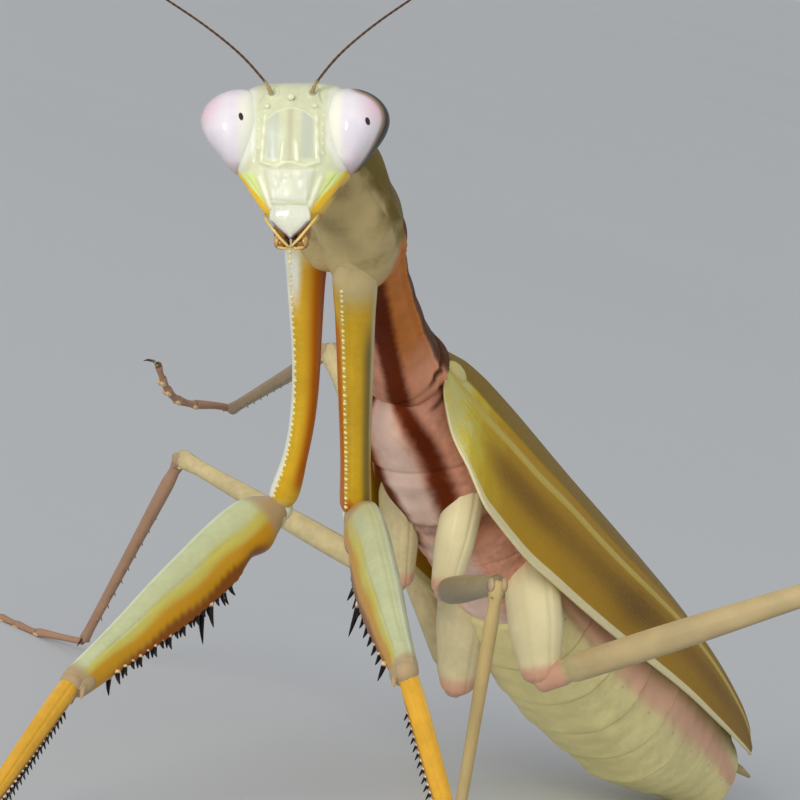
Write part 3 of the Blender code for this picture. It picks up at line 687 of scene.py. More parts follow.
lip, angle = rings(at_head(0 * t + 0.02, depth, LIP_TOP - LIP_LENGTH * t), flat * HEAD_LEFT, flat * FACE,
                   np.stack([half, 0 * t + 0.22, 0 * t + 0.2], 1), 80, 2.3)
from_edge = half[:, None] * (1 - np.abs(np.cos(angle))[None])
lip = puff(lip, 0.03 * bell(np.cos(angle)[None] * half[:, None], 0.16) - 0.015 * bell(from_edge - 0.2, 0.08))
lip_hem = step(0.20 - from_edge, -0.06, 0.12) * step(t, 0.42, 0.6)[:, None]
mouth.grid(lip, pale=1.0, violet=0.75 * lip_hem)
print("lip", LIP_LENGTH, "mm long and", (2 * half.max()).round(2), "mm wide")

# %% [markdown]
# Behind the lip are the brown glossy jaws, and thin jointed palps follow its edge and meet under the
# mouth. The jaws are mostly hidden, so a few overlapping balls are enough for them. Each palp is a
# tube that swells at its joints.

# %% Jaws and palps
JAW_BALLS = [  # place, radii, facets, mask, its strength
    ((0.52, 0.55, -3.35), (0.46, 0.62, 0.80), 24, "dark", 0.25),
    ((0.48, 0.86, -4.06), (0.42, 0.40, 0.34), 24, "dark", 0.35),
    ((0.68, 1.00, -3.95), (0.20, 0.24, 0.34), 18, "palp", 0.5),
    ((0.20, 1.05, -3.98), (0.14, 0.14, 0.26), 16, "dark", 1.0)]
OUTER_PALP = [(1.39, 1.0, -2.62), (1.19, 1.30, -2.98), (0.85, 1.44, -3.42), (0.49, 1.42, -3.86),
              (0.19, 1.36, -4.16), (0.01, 1.30, -4.34)]
INNER_PALP = [(0.80, 0.9, -4.10), (0.58, 1.10, -4.30), (0.32, 1.20, -4.36), (0.10, 1.22, -4.30)]
for sign in (-1, 1):
    for (x, y, height), radii, facets, mask, strength in JAW_BALLS:
        mouth.ball(at_head(sign * x, y, height), radii, HEAD_AXES, facets, **{mask: strength})
    for palp, radii, strength in ((OUTER_PALP, [0.06, 0.075, 0.07, 0.078, 0.07, 0.045], 1.0),
                                  (INNER_PALP, [0.07, 0.09, 0.08, 0.05], 0.7)):
        mouth.tube([at_head(sign * x, y, height) for x, y, height in palp], radii, palp=strength)
mouth.make("mouthparts_detail", mouth_skin, "mouthparts", "golden_cuticle")

# %% [markdown]
# The antennae are threads of many tiny joints. Hundreds of beads could be strung on a curve, but a
# tube whose radius ripples along its length gives the same joints with far fewer faces. A stout
# first joint sits in each socket.

# %% Antennae
FEELER_TINTS = {"pale": rgb(0.66, 0.58, 0.40), "dark": rgb(0.18, 0.11, 0.08)}
feeler_skin = cuticle("antenna_cuticle", rgb(0.34, 0.23, 0.15), FEELER_TINTS, 0.5, 0.0)
ANTENNA = np.array([(1.05, 1.25, 3.55), (1.20, 1.42, 3.90), (1.50, 1.55, 4.30), (2.5, 1.8, 5.4),
                    (4.2, 2.0, 6.8), (6.4, 2.1, 8.3), (10.6, 2.2, 11.0), (15.2, 2.0, 13.6),
                    (20.0, 1.4, 15.8)])
JOINT_LENGTH = 0.34
marks = np.concatenate([[0], np.cumsum(np.linalg.norm(np.diff(ANTENNA, axis=0), axis=1))])
gone = np.linspace(0, marks[-1], 480)
line = smooth(np.column_stack([marks, ANTENNA]), gone)
ripple = 0.5 + 0.5 * np.cos(2 * np.pi * gone / JOINT_LENGTH)
radius = (0.070 - 0.035 * gone / marks[-1]) * (0.90 + 0.12 * ripple)
radius += 0.045 * step(0.45 - gone, 0.0, 0.12) + 0.02 * bell(gone - 0.62, 0.14)
for side, sign in SIDE.items():
    feeler = Shape(*FEELER_TINTS)
    feeler.tube(at_head(sign * line[:, 0], line[:, 1], line[:, 2]), radius, 10,
                pale=step(0.9 - gone, 0, 0.4), dark=0.5 * ripple * step(gone, 1.0, 2.0))
    feeler.make("antenna_" + side + "_detail", feeler_skin, "antenna_" + side, "brown_cuticle")

# %% [markdown]
# Neck, prothorax and the wing-bearing thorax share one waxy skin: pink, and clouded with olive, rust
# and brown. It has many layers with a ragged edge each, because the colours on the animal nowhere
# meet in a clean line. Two layers are painted shade: shade darkens the top of the prothorax and the
# front of the next flank, and fold darkens creases. It is duller than the legs, so it gets little shine.

# %% Tints of the trunk
BEIGE = rgb(0.82, 0.73, 0.52)
# shade and fold are painted shade, not colours of the cuticle
TRUNK_TINTS = {"cream": rgb(0.97, 0.84, 0.77), "beige": BEIGE, "olive": rgb(0.50, 0.43, 0.22),
               "rust": rgb(0.82, 0.50, 0.24), "shade": rgb(0.36, 0.23, 0.13), "dark": rgb(0.42, 0.16, 0.03),
               "fold": rgb(0.34, 0.18, 0.10)}
trunk_skin = cuticle("trunk_cuticle", rgb(0.90, 0.65, 0.54), TRUNK_TINTS, 0.55, 0.15, cloud=0.24, ragged=0.40,
                     shine=0.08)
print(trunk_skin.name, "has", len(trunk_skin.node_tree.nodes), "nodes")

# %% [markdown]
# Rings of the trunk are measured in body axes: left, rear and dorsal. The neck between head and
# prothorax is a soft folded skin. It could be left out behind the head, but it shows from the side,
# so a short tube with six folds joins the two.


# %% Trunk rings and the neck
def trunk(body_axes, rows, count, around, square=2.2):
    """Rings with their place along the body and their angle, 90 degrees at the back."""
    run = np.linspace(rows[0][0], rows[-1][0], count)
    sizes = smooth(rows, run)
    left, rear, dorsal = body_axes
    flat = np.ones((count, 1))
    points, angle = rings(BODY + run[:, None] * rear + sizes[:, 1:2] * dorsal, flat * left, flat * dorsal,
                          sizes[:, [0, 2, 3]], around, square)
    return points, *np.meshgrid(run, angle, indexing="ij")


NECK_RINGS = 70
NECK_FOLDS = 6
PROTHORAX_REAR, PROTHORAX_BACK = PROTHORAX_AXES[1:]
start = at_head(0.0, -1.2, 0.1)
end = BODY - PROTHORAX_REAR * 23.6 - PROTHORAX_BACK * 0.6
t = np.linspace(0, 1, NECK_RINGS)
along = unit(end - start)
across = unit(np.cross(along, CROWN))
flat = np.ones((NECK_RINGS, 1))
fold = 1.15 + 0.25 * t + 0.05 * np.sin(2 * np.pi * t * NECK_FOLDS)
tube, _ = rings(start + (end - start) * t[:, None], flat * across, flat * np.cross(across, along),
                np.stack([fold, fold, fold], 1), 48)
neck = Shape(*TRUNK_TINTS)
neck.grid(tube, cream=0.5, olive=0.5)
neck.make("neck_membrane", trunk_skin, "neck", "cream_cuticle")

# %% [markdown]
# The prothorax is the long "neck" that carries the fore legs. Where each fore leg starts, the plate
# swells into it. Two separate solids would meet in a hard line, so the root of each leg is drawn
# first, as a curve from the leg into the chest, and the plate is puffed out wherever it runs close.

# %% Prothorax rings and the roots of the fore legs
PROTHORAX_ROWS = [  # along, half width, middle, above, below
    (-25.1, 0.5, -0.8, 0.3, 0.4), (-24.9, 1.3, -0.8, 0.8, 0.9), (-24.3, 1.95, -0.7, 1.25, 1.35),
    (-22.0, 2.8, -0.6, 1.7, 1.8), (-19.5, 3.2, -0.6, 2.3, 2.1), (-17.5, 3.1, -0.6, 2.3, 2.2),
    (-15.0, 2.5, -0.5, 1.9, 2.0), (-12.0, 2.1, -0.4, 1.7, 1.8), (-8.0, 2.0, -0.4, 1.8, 1.8),
    (-4.5, 2.1, -0.4, 2.1, 2.0), (-2.6, 2.4, -0.3, 2.5, 2.4), (-1.9, 2.2, -0.3, 2.4, 2.3),
    (-1.4, 1.5, -0.3, 1.7, 1.7)]
ROOT_RINGS = 24
plates, run, angle = trunk(PROTHORAX_AXES, PROTHORAX_ROWS, 280, 256)
high = np.sin(angle)
chest = BODY - PROTHORAX_REAR * 22.5
ROOTS = {}
for side in SIDE:
    hip, elbow = FORE[side][:2]
    down = unit(elbow - hip)
    t = np.linspace(0, 1, ROOT_RINGS)[:, None]
    bend_at = hip - down * 3.0
    ROOTS[side] = (hip + down * 0.9) * (1 - t) ** 2 + bend_at * 2 * t * (1 - t) + chest * t**2
both_roots = np.concatenate(list(ROOTS.values()))
near = np.linalg.norm(plates[:, :, None] - both_roots, axis=-1).min(axis=-1)
print("prothorax rings:", plates.shape, "nearest root", near.min().round(2), "mm")

# %% [markdown]
# Its back plate, the pronotum, is a narrow saddle with a fine keel, a flanged and toothed edge, and a
# groove across it above the legs. These are real ridges on the outline, so they are in the mesh.
# The sides are orange, with a broad dark stripe low down that runs on over the next segment.


# %% Relief and tints of the prothorax
def side_stripe(rows, soft):
    """A stripe along both sides; rows give its place, its angle and its half width in degrees."""
    middle, half = smooth(rows, run[:, 0]).T[..., None]
    return np.maximum(within(angle, middle, half, soft), within(angle, 540 - middle, half, soft))


FLANGE = 0.30
ring_of_coxa = run + 3.2 + 0.8 * high
relief = 0.85 * bell(np.maximum(near - 1.0, 0), 0.95)
relief += 0.09 * bell(high - FLANGE, 0.06) - 0.09 * bell(high - FLANGE + 0.16, 0.08)
relief += 0.08 * bell(np.cos(angle), 0.06) * (high > 0) - 0.12 * bell(run + 18.2, 0.35) * (high > FLANGE)
relief += 0.04 * np.clip(np.sin(run * 9), 0, 1) * bell(high - FLANGE, 0.05)
relief += 0.03 * np.sin(2.1 * run + 3 * angle) * np.sin(5 * angle) - 0.10 * bell(ring_of_coxa, 0.22)
stripe = side_stripe([(-25.0, 320, 16), (-17.0, 318, 22), (-12.0, 312, 22), (-7.0, 306, 20), (-1.0, 304, 17)],
                     15) * step(run, -18.0, -14.5)
back = step(high, FLANGE - 0.10, FLANGE + 0.15)
mottle = 0.5 + 0.5 * np.sin(1.9 * run + 2.2 * angle) * np.sin(3.1 * angle - 0.8 * run)
ahead = step(-run - 1.2 * high, 15.6, 18.6)
olive = ahead * (0.40 * step(mottle, 0.1, 1.0) + 0.85 * step(high, -0.35, 0.6)) + 0.25 * back * (1 - ahead)
rust = step(run + 1.2 * high, -19.0, -16.0) * step(high, -0.9, -0.5) * (1 - 0.6 * step(run, -10.0, -4.0))
# shade is painted shade over the back behind its front, and fold is painted shade in the groove round each
# coxa.
prothorax = Shape(*TRUNK_TINTS)
prothorax.grid(puff(plates, relief), beige=ahead, olive=olive, rust=rust, dark=stripe,
               shade=0.9 * step(high, FLANGE - 0.1, FLANGE + 0.3) * step(run, -21, -17),
               fold=0.8 * bell(ring_of_coxa, 0.30) * step(high, -0.4, 0.1))
prothorax.make("prothorax_plates", trunk_skin, "prothorax", "brown_cuticle")

# %% [markdown]
# The next two segments are joined into one box that carries the wings and the four walking legs. Its
# flank is pink, crossed by slanting sutures between its plates, and the dark stripe ends on it. The
# sutures slant because each is a bell on a place that shifts with the height.

# %% Wing-bearing thorax
THORAX_ROWS = [  # along, half width, middle, above, below
    (-2.6, 0.8, -1.1, 1.0, 1.0), (-2.2, 1.5, -1.2, 2.0, 1.7), (-1.6, 2.1, -1.25, 2.7, 2.3),
    (-1.0, 2.4, -1.35, 2.6, 2.6), (1.0, 3.0, -1.8, 2.9, 2.8), (4.0, 3.4, -2.2, 3.4, 3.1),
    (8.0, 3.6, -2.6, 3.9, 3.4), (12.0, 3.6, -2.8, 4.1, 3.6), (15.0, 3.5, -3.0, 4.2, 3.8),
    (16.4, 3.2, -3.1, 3.9, 3.5)]
plates, run, angle = trunk(ABDOMEN_AXES, THORAX_ROWS, 200, 256)
high = np.sin(angle)
relief = -0.14 * bell(run - 7.4 - 1.2 * high, 0.20) - 0.10 * bell(run - 3.4 - 1.8 * high, 0.15)
relief += 0.10 * bell(run - 4.3 - 1.8 * high, 0.40) + 0.10 * bell(run - 9.2 - 1.6 * high, 0.45)
relief -= 0.10 * bell(run - 11.6 - 1.8 * high, 0.15)
relief += 0.06 * np.sin(run * 2.1 + 3 * angle) * np.sin(1.7 * run - 2 * angle)
stripe = side_stripe([(-3.0, 312, 18), (0.0, 314, 15), (3.0, 306, 16), (6.5, 297, 15), (9.0, 290, 8)],
                     14) * step(9.0 - run, -0.5, 1.5)
# Painted shade: in the folds at the front, on the skin between the hips, and on the upper front of the flank.
folds = 0.7 * bell(run + 0.9 - 0.9 * high, 0.22) + 0.5 * bell(run - 0.9 - 0.9 * high, 0.18)
shade_between_hips = bell(run - 7.6 - 1.3 * high, 0.9) * step(0.2 - high, 0.0, 0.4)
thorax = Shape(*TRUNK_TINTS)
thorax.grid(puff(plates, relief), dark=np.maximum(0.9 * stripe, 0.5 * shade_between_hips),
            fold=folds * step(high, -0.5, 0.0), rust=0.35 * bell(run - 8.2 - 1.3 * high, 1.3),
            cream=0.8 * within(angle, 270, 24, 14),
            shade=0.6 * step(1.0 - run, 0.0, 2.0) * step(high, -0.1, 0.5))
thorax.make("pterothorax_plates", trunk_skin, "pterothorax", "pink_cuticle")

# %% [markdown]
# The abdomen is a row of rings, each of which tucks under the one in front, with a soft fold along
# the side. Nine overlapping cups could be modelled, but their insides are never seen. So it is one
# tube that swells towards the end of each ring and drops into a groove behind it. A dark dot on the
# side of each ring is its breathing hole, and two short feelers, the cerci, stand at the end.

# %% Abdomen
BELLY_TINTS = {"green": rgb(0.80, 0.77, 0.50), "pink": rgb(0.90, 0.70, 0.58), "line": rgb(0.62, 0.53, 0.34),
               "dark": rgb(0.35, 0.22, 0.12)}
belly_skin = cuticle("abdomen_cuticle", rgb(0.92, 0.87, 0.62), BELLY_TINTS, 0.45, 0.2, cloud=0.10, shine=0.15)
ABDOMEN_ROWS = [  # along, half width, middle, above, below
    (15.2, 2.6, -3.3, 3.3, 2.9), (16.0, 3.4, -3.4, 4.1, 3.6), (19.6, 3.9, -3.8, 4.6, 4.0),
    (23.4, 4.2, -3.9, 4.8, 4.2), (27.2, 4.3, -3.8, 4.8, 4.3), (31.0, 4.3, -3.2, 4.8, 4.6),
    (34.8, 3.8, -2.6, 4.3, 4.9), (38.6, 3.2, -2.0, 3.7, 4.3), (42.2, 2.5, -1.7, 3.1, 3.3),
    (45.4, 1.8, -1.7, 2.3, 2.2), (46.4, 1.1, -1.9, 1.5, 1.6), (46.9, 0.45, -2.0, 0.6, 0.7)]
RING_ENDS = vec(15.5, 19.6, 23.4, 27.2, 31.0, 34.8, 38.6, 42.2, 45.4)
CERCUS = ((45.2, 1.0, -0.6), (46.6, 1.35, -0.5), (47.6, 1.6, -0.45))  # along, aside, up
left, rear, dorsal = ABDOMEN_AXES
plates, run, angle = trunk(ABDOMEN_AXES, ABDOMEN_ROWS, 440, 160, 2.3)
high = np.sin(angle)
past = run[..., None] - RING_ENDS - 0.25 * high[..., None]
tucked = np.where(past > 0, bell(past, 0.22), 0.0).max(axis=-1)
swollen = np.where(past > 0, 0.0, bell(past, 1.0)).max(axis=-1)
relief = 0.10 * swollen - 0.12 * tucked - 0.12 * bell(high + 0.18, 0.06)
relief += 0.03 * np.sin(3.7 * run + 3 * angle) * np.sin(6 * angle)
breath = bell(high + 0.30, 0.03) * bell(np.abs(past + 1.9).min(axis=-1), 0.18)
abdomen = Shape(*BELLY_TINTS)
abdomen.grid(puff(plates, relief), green=0.3 * step(-high, 0.6, 1.0), pink=0.8 * bell(high + 0.05, 0.26),
             line=0.6 * tucked, dark=0.5 * breath)
for sign in (-1, 1):
    places = [BODY + rear * y + left * (sign * x) + dorsal * z for y, x, z in CERCUS]
    abdomen.tube(places, [0.32, 0.28, 0.10], line=0.6)
abdomen.make("abdomen_rings", belly_skin, "abdomen", "cream_cuticle")

# %% [markdown]
# The fore wings are leathery covers in gold and olive, paler towards the shoulder and along the front
# margin. Between the long veins lies a fine net of cross veins. It is too fine for the mesh, so it
# comes from a cell texture stretched along the wing, and is used as a faint tint and as bump.

# %% Wing leather
leather = Paint("wing_leather", 0.50, 0.08, 0.0, 0.2)
run_mask = leather.mask("run")
grain = leather.noise(0.9, 5.0)
net_place = leather.add("ShaderNodeCombineXYZ", {}, {"X": run_mask * 1.5, "Y": leather.mask("across") * 3.4})
net = leather.add("ShaderNodeTexVoronoi", {"feature": "DISTANCE_TO_EDGE"},
                  {"Vector": net_place, "Scale": 1.6, "Randomness": 0.8}, "Distance")
vein = 1 - net.between(0.02, 0.09)
FIELD = [(0.0, rgb(0.82, 0.79, 0.50)), (1.2, rgb(0.83, 0.75, 0.26)), (3.0, rgb(0.79, 0.65, 0.12)),
         (6.0, rgb(0.74, 0.57, 0.07)), (20.0, rgb(0.69, 0.52, 0.07)), (47.0, rgb(0.57, 0.43, 0.08))]
tone = leather.ramp(run_mask + (grain - 0.5) * 4.0, FIELD)
for mask, low, high, tint in (("centre", 0.0, 1.2, rgb(0.52, 0.37, 0.04)),
                              # the narrow top is its own olive-brown, darkened further with painted shade
                              ("top", 0.3, 0.8, rgb(0.54, 0.43, 0.10)),
                              ("ridge", 0.3, 0.9, rgb(0.80, 0.71, 0.36)),
                              ("margin", 0.3, 0.7, rgb(0.93, 0.88, 0.68)),
                              ("cloud", 0.1, 1.6, rgb(0.40, 0.28, 0.03))):
    tone = leather.mix(tone, tint, leather.mask(mask).between(low, high))
tone = leather.mix(tone, rgb(0.74, 0.62, 0.26), vein * 0.12)
wing_skin = leather.finish(Base_Color=tone, Roughness=0.46 + grain * 0.12,
                           Normal=leather.bump(vein + grain * 0.3, 0.30, 0.03))
print(wing_skin.name, "has", len(wing_skin.node_tree.nodes), "nodes")

# %% [markdown]
# Folded, the covers make a steep roof over the abdomen: a narrow top, a ridge along each side, and a
# broad side field down to the front margin. A plane could be bent over the body, but a table of three
# corners at each place along the wing gives the exact roof. The left cover lies over the right one.

# %% Sections of the wing covers
WING_ROWS = [  # rear, top corner (x, z), ridge (x, z), front margin (x, z)
    (-1.9, 1.5, 1.5, 2.5, 0.8, 2.9, 0.3), (-1.7, 1.55, 1.65, 2.6, 0.6, 3.0, -0.8),
    (-1.2, 1.7, 1.9, 2.9, 0.3, 3.4, -2.0), (-0.3, 1.8, 2.15, 3.1, 0.1, 3.9, -3.2),
    (0.9, 1.95, 2.4, 3.3, 0.0, 4.8, -4.4), (3.5, 2.1, 2.6, 3.6, -0.2, 5.3, -5.6),
    (8.0, 2.1, 2.75, 3.9, -0.2, 5.3, -5.7), (13.0, 2.1, 2.8, 4.0, 0.1, 5.4, -5.3),
    (19.0, 2.1, 3.0, 4.0, 0.4, 5.4, -4.6), (25.0, 2.0, 3.2, 4.0, 0.9, 5.4, -3.7),
    (31.0, 1.9, 3.3, 3.8, 1.4, 5.1, -2.7), (37.0, 1.7, 3.15, 3.3, 1.6, 4.5, -1.8),
    (42.0, 1.4, 2.75, 2.6, 1.6, 3.5, -0.8), (45.5, 1.0, 2.3, 1.8, 1.4, 2.3, 0.2),
    (47.0, 0.6, 1.9, 1.1, 1.3, 1.4, 0.8)]
CORNERS = vec(0, 0.12, 0.26, 0.36, 0.46, 0.64, 0.82, 1.0)
TUCK = 1.3
wing_run = np.concatenate([np.linspace(-1.9, 1.5, 50), np.linspace(1.7, 44.0, 190),
                           np.linspace(44.1, 47.0, 30)])
span = np.linspace(0, 1, 130)
SPAN, RUN = np.meshgrid(span, wing_run)


def wing_section(side):
    """x and z over span, from the top of the wing to its front margin, at each place of wing_run."""
    xt, zt, xr, zr, xm, zm = smooth(WING_ROWS, wing_run).T
    if side == "left":
        corners = [(-0.5 * xt, zt + 0.14), (0 * xt, zt + 0.22), (xt, zt)]
    else:
        xm = xm - TUCK * bell(wing_run - 4.0, 7.0)
        corners = [(-0.15 * xt, zt - 0.62), (xt * 0.6, zt - 0.54), (xt, zt - 0.34)]
    corners += [((xt + xr) / 2 + 0.25, (zt + zr) / 2 + 0.2), (xr, zr),
                ((2 * xr + xm) / 3 + 0.16, (2 * zr + zm) / 3), ((xr + 2 * xm) / 3 + 0.16, (zr + 2 * zm) / 3),
                (xm, zm)]
    table = np.array(corners)
    return np.stack([smooth(np.column_stack([CORNERS, table[:, 0, j], table[:, 1, j]]), span)
                     for j in range(len(wing_run))])


print("wing sections:", wing_section("left").shape)

# %% [markdown]
# A sheet has two faces and an edge. Two layers could be sewn together, but one closed loop round each
# section is simpler: out along the upper face, back along the lower one. Long veins and the fine
# ribs between them are raised on the upper face. A pale knob at the shoulder carries the hinge.

# %% Wing covers
VEINS = ((0.30, 0.05, 0.012), (0.40, 0.05, 0.010), (0.46, 0.16, 0.018), (0.52, 0.06, 0.010),
         (0.58, 0.05, 0.008), (0.985, 0.12, 0.02), (0.06, 0.05, 0.012), (0.18, 0.05, 0.012))
RIB_COUNT = 34
SHEET = 0.14
MARKS = {"run": np.maximum(RUN, 0.0), "across": SPAN * 9.0,
         "centre": bell(SPAN - 0.66, 0.14) * step(RUN, 0, 5) * (0.88 + 0.12 * np.sin(RUN * 0.45 - 2.0)),
         "top": step(0.43 - SPAN, 0.0, 0.05), "ridge": bell(SPAN - 0.465, 0.026),
         "margin": np.maximum(step(SPAN, 0.925, 0.955), 0.8 * bell(RUN + 1.9, 0.25) * step(SPAN, 0.5, 0.7)),
         "cloud": bell(np.hypot((RUN - 23.0 + 8.0 * (SPAN - 0.7)) / 4.0, (SPAN - 0.70) / 0.24), 1.0)}
ribs = sum(height * bell(SPAN - place, width) for place, height, width in VEINS)
ribs = ribs + 0.02 * np.cos(2 * np.pi * SPAN * RIB_COUNT) * step(SPAN, 0.50, 0.6) * step(0.97 - SPAN, 0, 0.1)
thick = SHEET * (0.3 + 0.7 * step(SPAN, 0, 0.03) * step(1 - SPAN, 0, 0.02))
spine_line = BODY + RUN[..., None] * rear
for side, sign in SIDE.items():
    section = wing_section(side)
    sheet = spine_line + (sign * section[..., :1]) * left + section[..., 1:] * dorsal
    normal = np.cross(np.gradient(sheet, axis=0), np.gradient(sheet, axis=1))
    normal /= np.linalg.norm(normal, axis=2, keepdims=True)
    if (normal * (sheet - (spine_line - 3 * dorsal))).sum() < 0:
        normal = -normal
    under = (sheet - normal * thick[..., None])[:, ::-1]
    wing = Shape(*MARKS)
    wing.grid(np.concatenate([sheet + normal * (ribs * 0.8)[..., None], under], axis=1),
              **{mask: np.concatenate([mark, mark[:, ::-1]], axis=1) for mask, mark in MARKS.items()})
    knob = BODY + left * (sign * 2.75) + dorsal * 0.75 + rear * -0.75
    wing.ball(knob, (0.42, 0.48, 1.05), (left, dorsal, rear), 24, ridge=0.5, margin=0.45)
    wing.make("wing_" + side + "_cover", wing_skin, "wing_" + side, "wing")

# %% [markdown]
# Legs come last. Every segment of a leg is a rounded rod from one joint to the next, thicker at some
# places than at others, and sometimes bowed. One function makes them all from a table. Its rings
# crowd towards both ends, where the shape turns fastest.


# %% A leg segment
BOW = 1.5


def segment(a, b, rows, up, count=90, around=48, square=2.0, bend=0.0):
    """Rings from a to b; rows are (share of the length, half width, above, below)."""
    s = np.linspace(0, 1, count)
    t = rows[0][0] + (rows[-1][0] - rows[0][0]) * (s - 0.9 * np.sin(2 * np.pi * s) / (2 * np.pi))
    sizes = smooth(rows, t)
    along = unit(b - a)
    side = unit(np.cross(along, up))
    top = np.cross(side, along)
    bow = bend * np.sin(np.pi * np.clip(t, 0, 1) ** BOW)
    flat = np.ones((count, 1))
    line = a + (b - a) * t[:, None] + top * bow[:, None]
    points, angle = rings(line, flat * side, flat * top, sizes, around, square)
    return points, *np.meshgrid(t, angle, indexing="ij"), (along, side, top)


def rounded(start, rows, end):
    """Adds rows that close both ends of a segment as domes that reach start and end further."""
    rows = [row if len(row) == 4 else (*row, row[-1]) for row in rows]
    dome = [(c, math.sqrt(1 - c * c)) for c in (0.4, 0.75, 0.93, 0.995)]
    first = [(rows[0][0] - start * c, *(w * k for w in rows[0][1:])) for c, k in reversed(dome)]
    last = [(rows[-1][0] + end * c, *(w * k for w in rows[-1][1:])) for c, k in dome]
    return first + rows + last


def scaled(size, rows):
    """The same table with every radius times size."""
    return [(t, *(size * r for r in radii)) for t, *radii in rows]


print("rows of a rounded peg:", len(rounded(0.1, [(0.0, 1.0, 1.0), (1.0, 1.0, 1.0)], 0.1)))

# %% [markdown]
# The front pair of legs hunts. Its coxa is a long beam with a row of pearly beads. One set of masks
# for both would be shorter, but the two turn different faces outward: the left one is gold with an
# orange and an olive edge, the right one is orange and white. So each has its own masks.


# %% Tints of the fore coxae
COXA_TINTS = {"orange": rgb(0.74, 0.42, 0.03), "olive": rgb(0.50, 0.42, 0.17), "cream": rgb(0.80, 0.74, 0.55),
              "white": rgb(0.93, 0.93, 0.86), "bead": rgb(0.97, 0.90, 0.62), "beige": BEIGE}
coxa_skin = cuticle("forecoxa_cuticle", rgb(0.82, 0.65, 0.13), COXA_TINTS, 0.34, 0.2, cloud=0.10, ragged=0.12,
                    coat=0.10)


def coxa_marks(side, share, angle):
    """Where each tint of a fore coxa lies, from the share of its length and the angle round it."""
    upper = step(0.11 - share, -0.12, 0.16)
    if side == "left":
        end = 0.9 * within(angle, 300, 60) * step(share, 0.88, 0.95)
        edge = 0.75 * within(angle, 74, 20, 12) * step(0.9 - share, 0, 0.3)
        marks = {"orange": within(angle, 285, 30) * step(share, 0.08, 0.3) + end,
                 "olive": 0.8 * within(angle, 48, 26, 25) * step(share, 0.08, 0.35),
                 "cream": np.maximum(upper * within(angle, 30, 75, 20), edge)}
    else:
        end = 0.8 * step(share, 0.92, 0.99) * within(angle, 330, 50, 20)
        root = 0.9 * step(0.26 - share, -0.10, 0.16) * within(angle, 300, 46, 20)
        marks = {"orange": within(angle, 66, 54, 40) * step(share, 0.0, 0.12) * step(0.96 - share, 0, 0.1),
                 "cream": np.maximum(upper * within(angle, 300, 62, 25), end),
                 "white": np.maximum(within(angle, 282, 26, 8), root)}
    return {mask: np.clip(mark, 0, 1) for mask, mark in marks.items()}


print("masks of the left coxa:", list(coxa_marks("left", vec(0.5), vec(1.0))))

# %% [markdown]
# The coxa's upper end is soft skin that runs into the chest, so a tube along its root is added. The
# beads could be one bumpy ridge, but they stand apart and each catches the light, so each is a small
# ball, every second one a little smaller.

# %% Fore coxae
COXA_ROWS = {"left": [(0.0, 0.95, 1.0), (0.05, 1.1, 1.2), (0.2, 0.98, 1.08), (0.5, 0.82, 0.94),
                      (0.8, 0.78, 0.84), (0.95, 0.86, 0.88)],
             "right": [(0.0, 1.0, 1.0), (0.05, 1.2, 1.2), (0.2, 1.08, 1.02), (0.5, 0.94, 0.76),
                       (0.8, 0.86, 0.68), (0.95, 0.88, 0.82)]}
COXA_UP = vec(0.74, 0.62, 0.27)
COXA_BEND = {"left": 0.0, "right": 0.75}
COXA_AROUND = 120
BEAD_ANGLE = {"left": 328, "right": 316}
BEAD_COUNT = 47
root_size = 0.80 + 0.34 * np.sin(np.pi * np.linspace(0, 1, ROOT_RINGS) * 0.8)
for side in SIDE:
    hip, elbow = FORE[side][:2]
    plates, share, angle, _ = segment(hip, elbow, rounded(0.05, COXA_ROWS[side], 0.05), COXA_UP, 180,
                                      COXA_AROUND, 2.2, COXA_BEND[side])
    bead_angle = BEAD_ANGLE[side]
    relief = 0.07 * within(angle, bead_angle, 4, 8) * step(share, 0.04, 0.12)
    relief -= 0.05 * within(angle, bead_angle + 18, 3, 8)
    relief -= 0.05 * within(angle, 75, 5, 9) * step(share, 0.1, 0.25)
    coxa = Shape(*COXA_TINTS)
    coxa.grid(puff(plates, relief), beige=step(0.07 - share, -0.07, 0.09), **coxa_marks(side, share, angle))
    coxa.tube(ROOTS[side], root_size, 40, beige=0.9)
    column = round(bead_angle * COXA_AROUND / 360)
    for k in range(BEAD_COUNT):
        ring = np.argmin(np.abs(share[:, 0] - (0.06 + 0.88 * k / (BEAD_COUNT - 1))))
        coxa.ball(plates[ring, column], 0.125 - 0.03 * (k % 2), around=10, bead=1.0)
    coxa.make("fore_coxa_" + side + "_plate", coxa_skin, "fore_coxa_" + side, "golden_cuticle")

# %% [markdown]
# Femur and tibia of the hunting leg shade from pale green above through gold to amber below. One
# palette serves both. The femur starts from green and the tibia from gold.

# %% Tints of the fore legs
FORE_TINTS = {"olive": rgb(0.79, 0.75, 0.36), "gold": rgb(0.79, 0.58, 0.10), "amber": rgb(0.54, 0.30, 0.04),
              "white": rgb(0.88, 0.90, 0.78), "knee": rgb(0.70, 0.60, 0.45), "pale": rgb(0.93, 0.80, 0.66),
              "dark": rgb(0.06, 0.04, 0.05)}
fore_skin = cuticle("foreleg_cuticle", rgb(0.76, 0.78, 0.60), FORE_TINTS, 0.36, 0.2, cloud=0.08, ragged=0.10,
                    coat=0.12)
shin_skin = cuticle("foretibia_cuticle", rgb(0.86, 0.65, 0.20), FORE_TINTS, 0.34, 0.2, cloud=0.10,
                    ragged=0.12, coat=0.15)
print("fore leg tints:", list(FORE_TINTS))

# %% [markdown]
# The fore femur is armed with spines in two rows along its lower edge: short ones, long ones between
# them, and one very long one. One length for all would look like a comb, so each has its own. They
# are real tapered tubes and not bump, because they show on the outline.


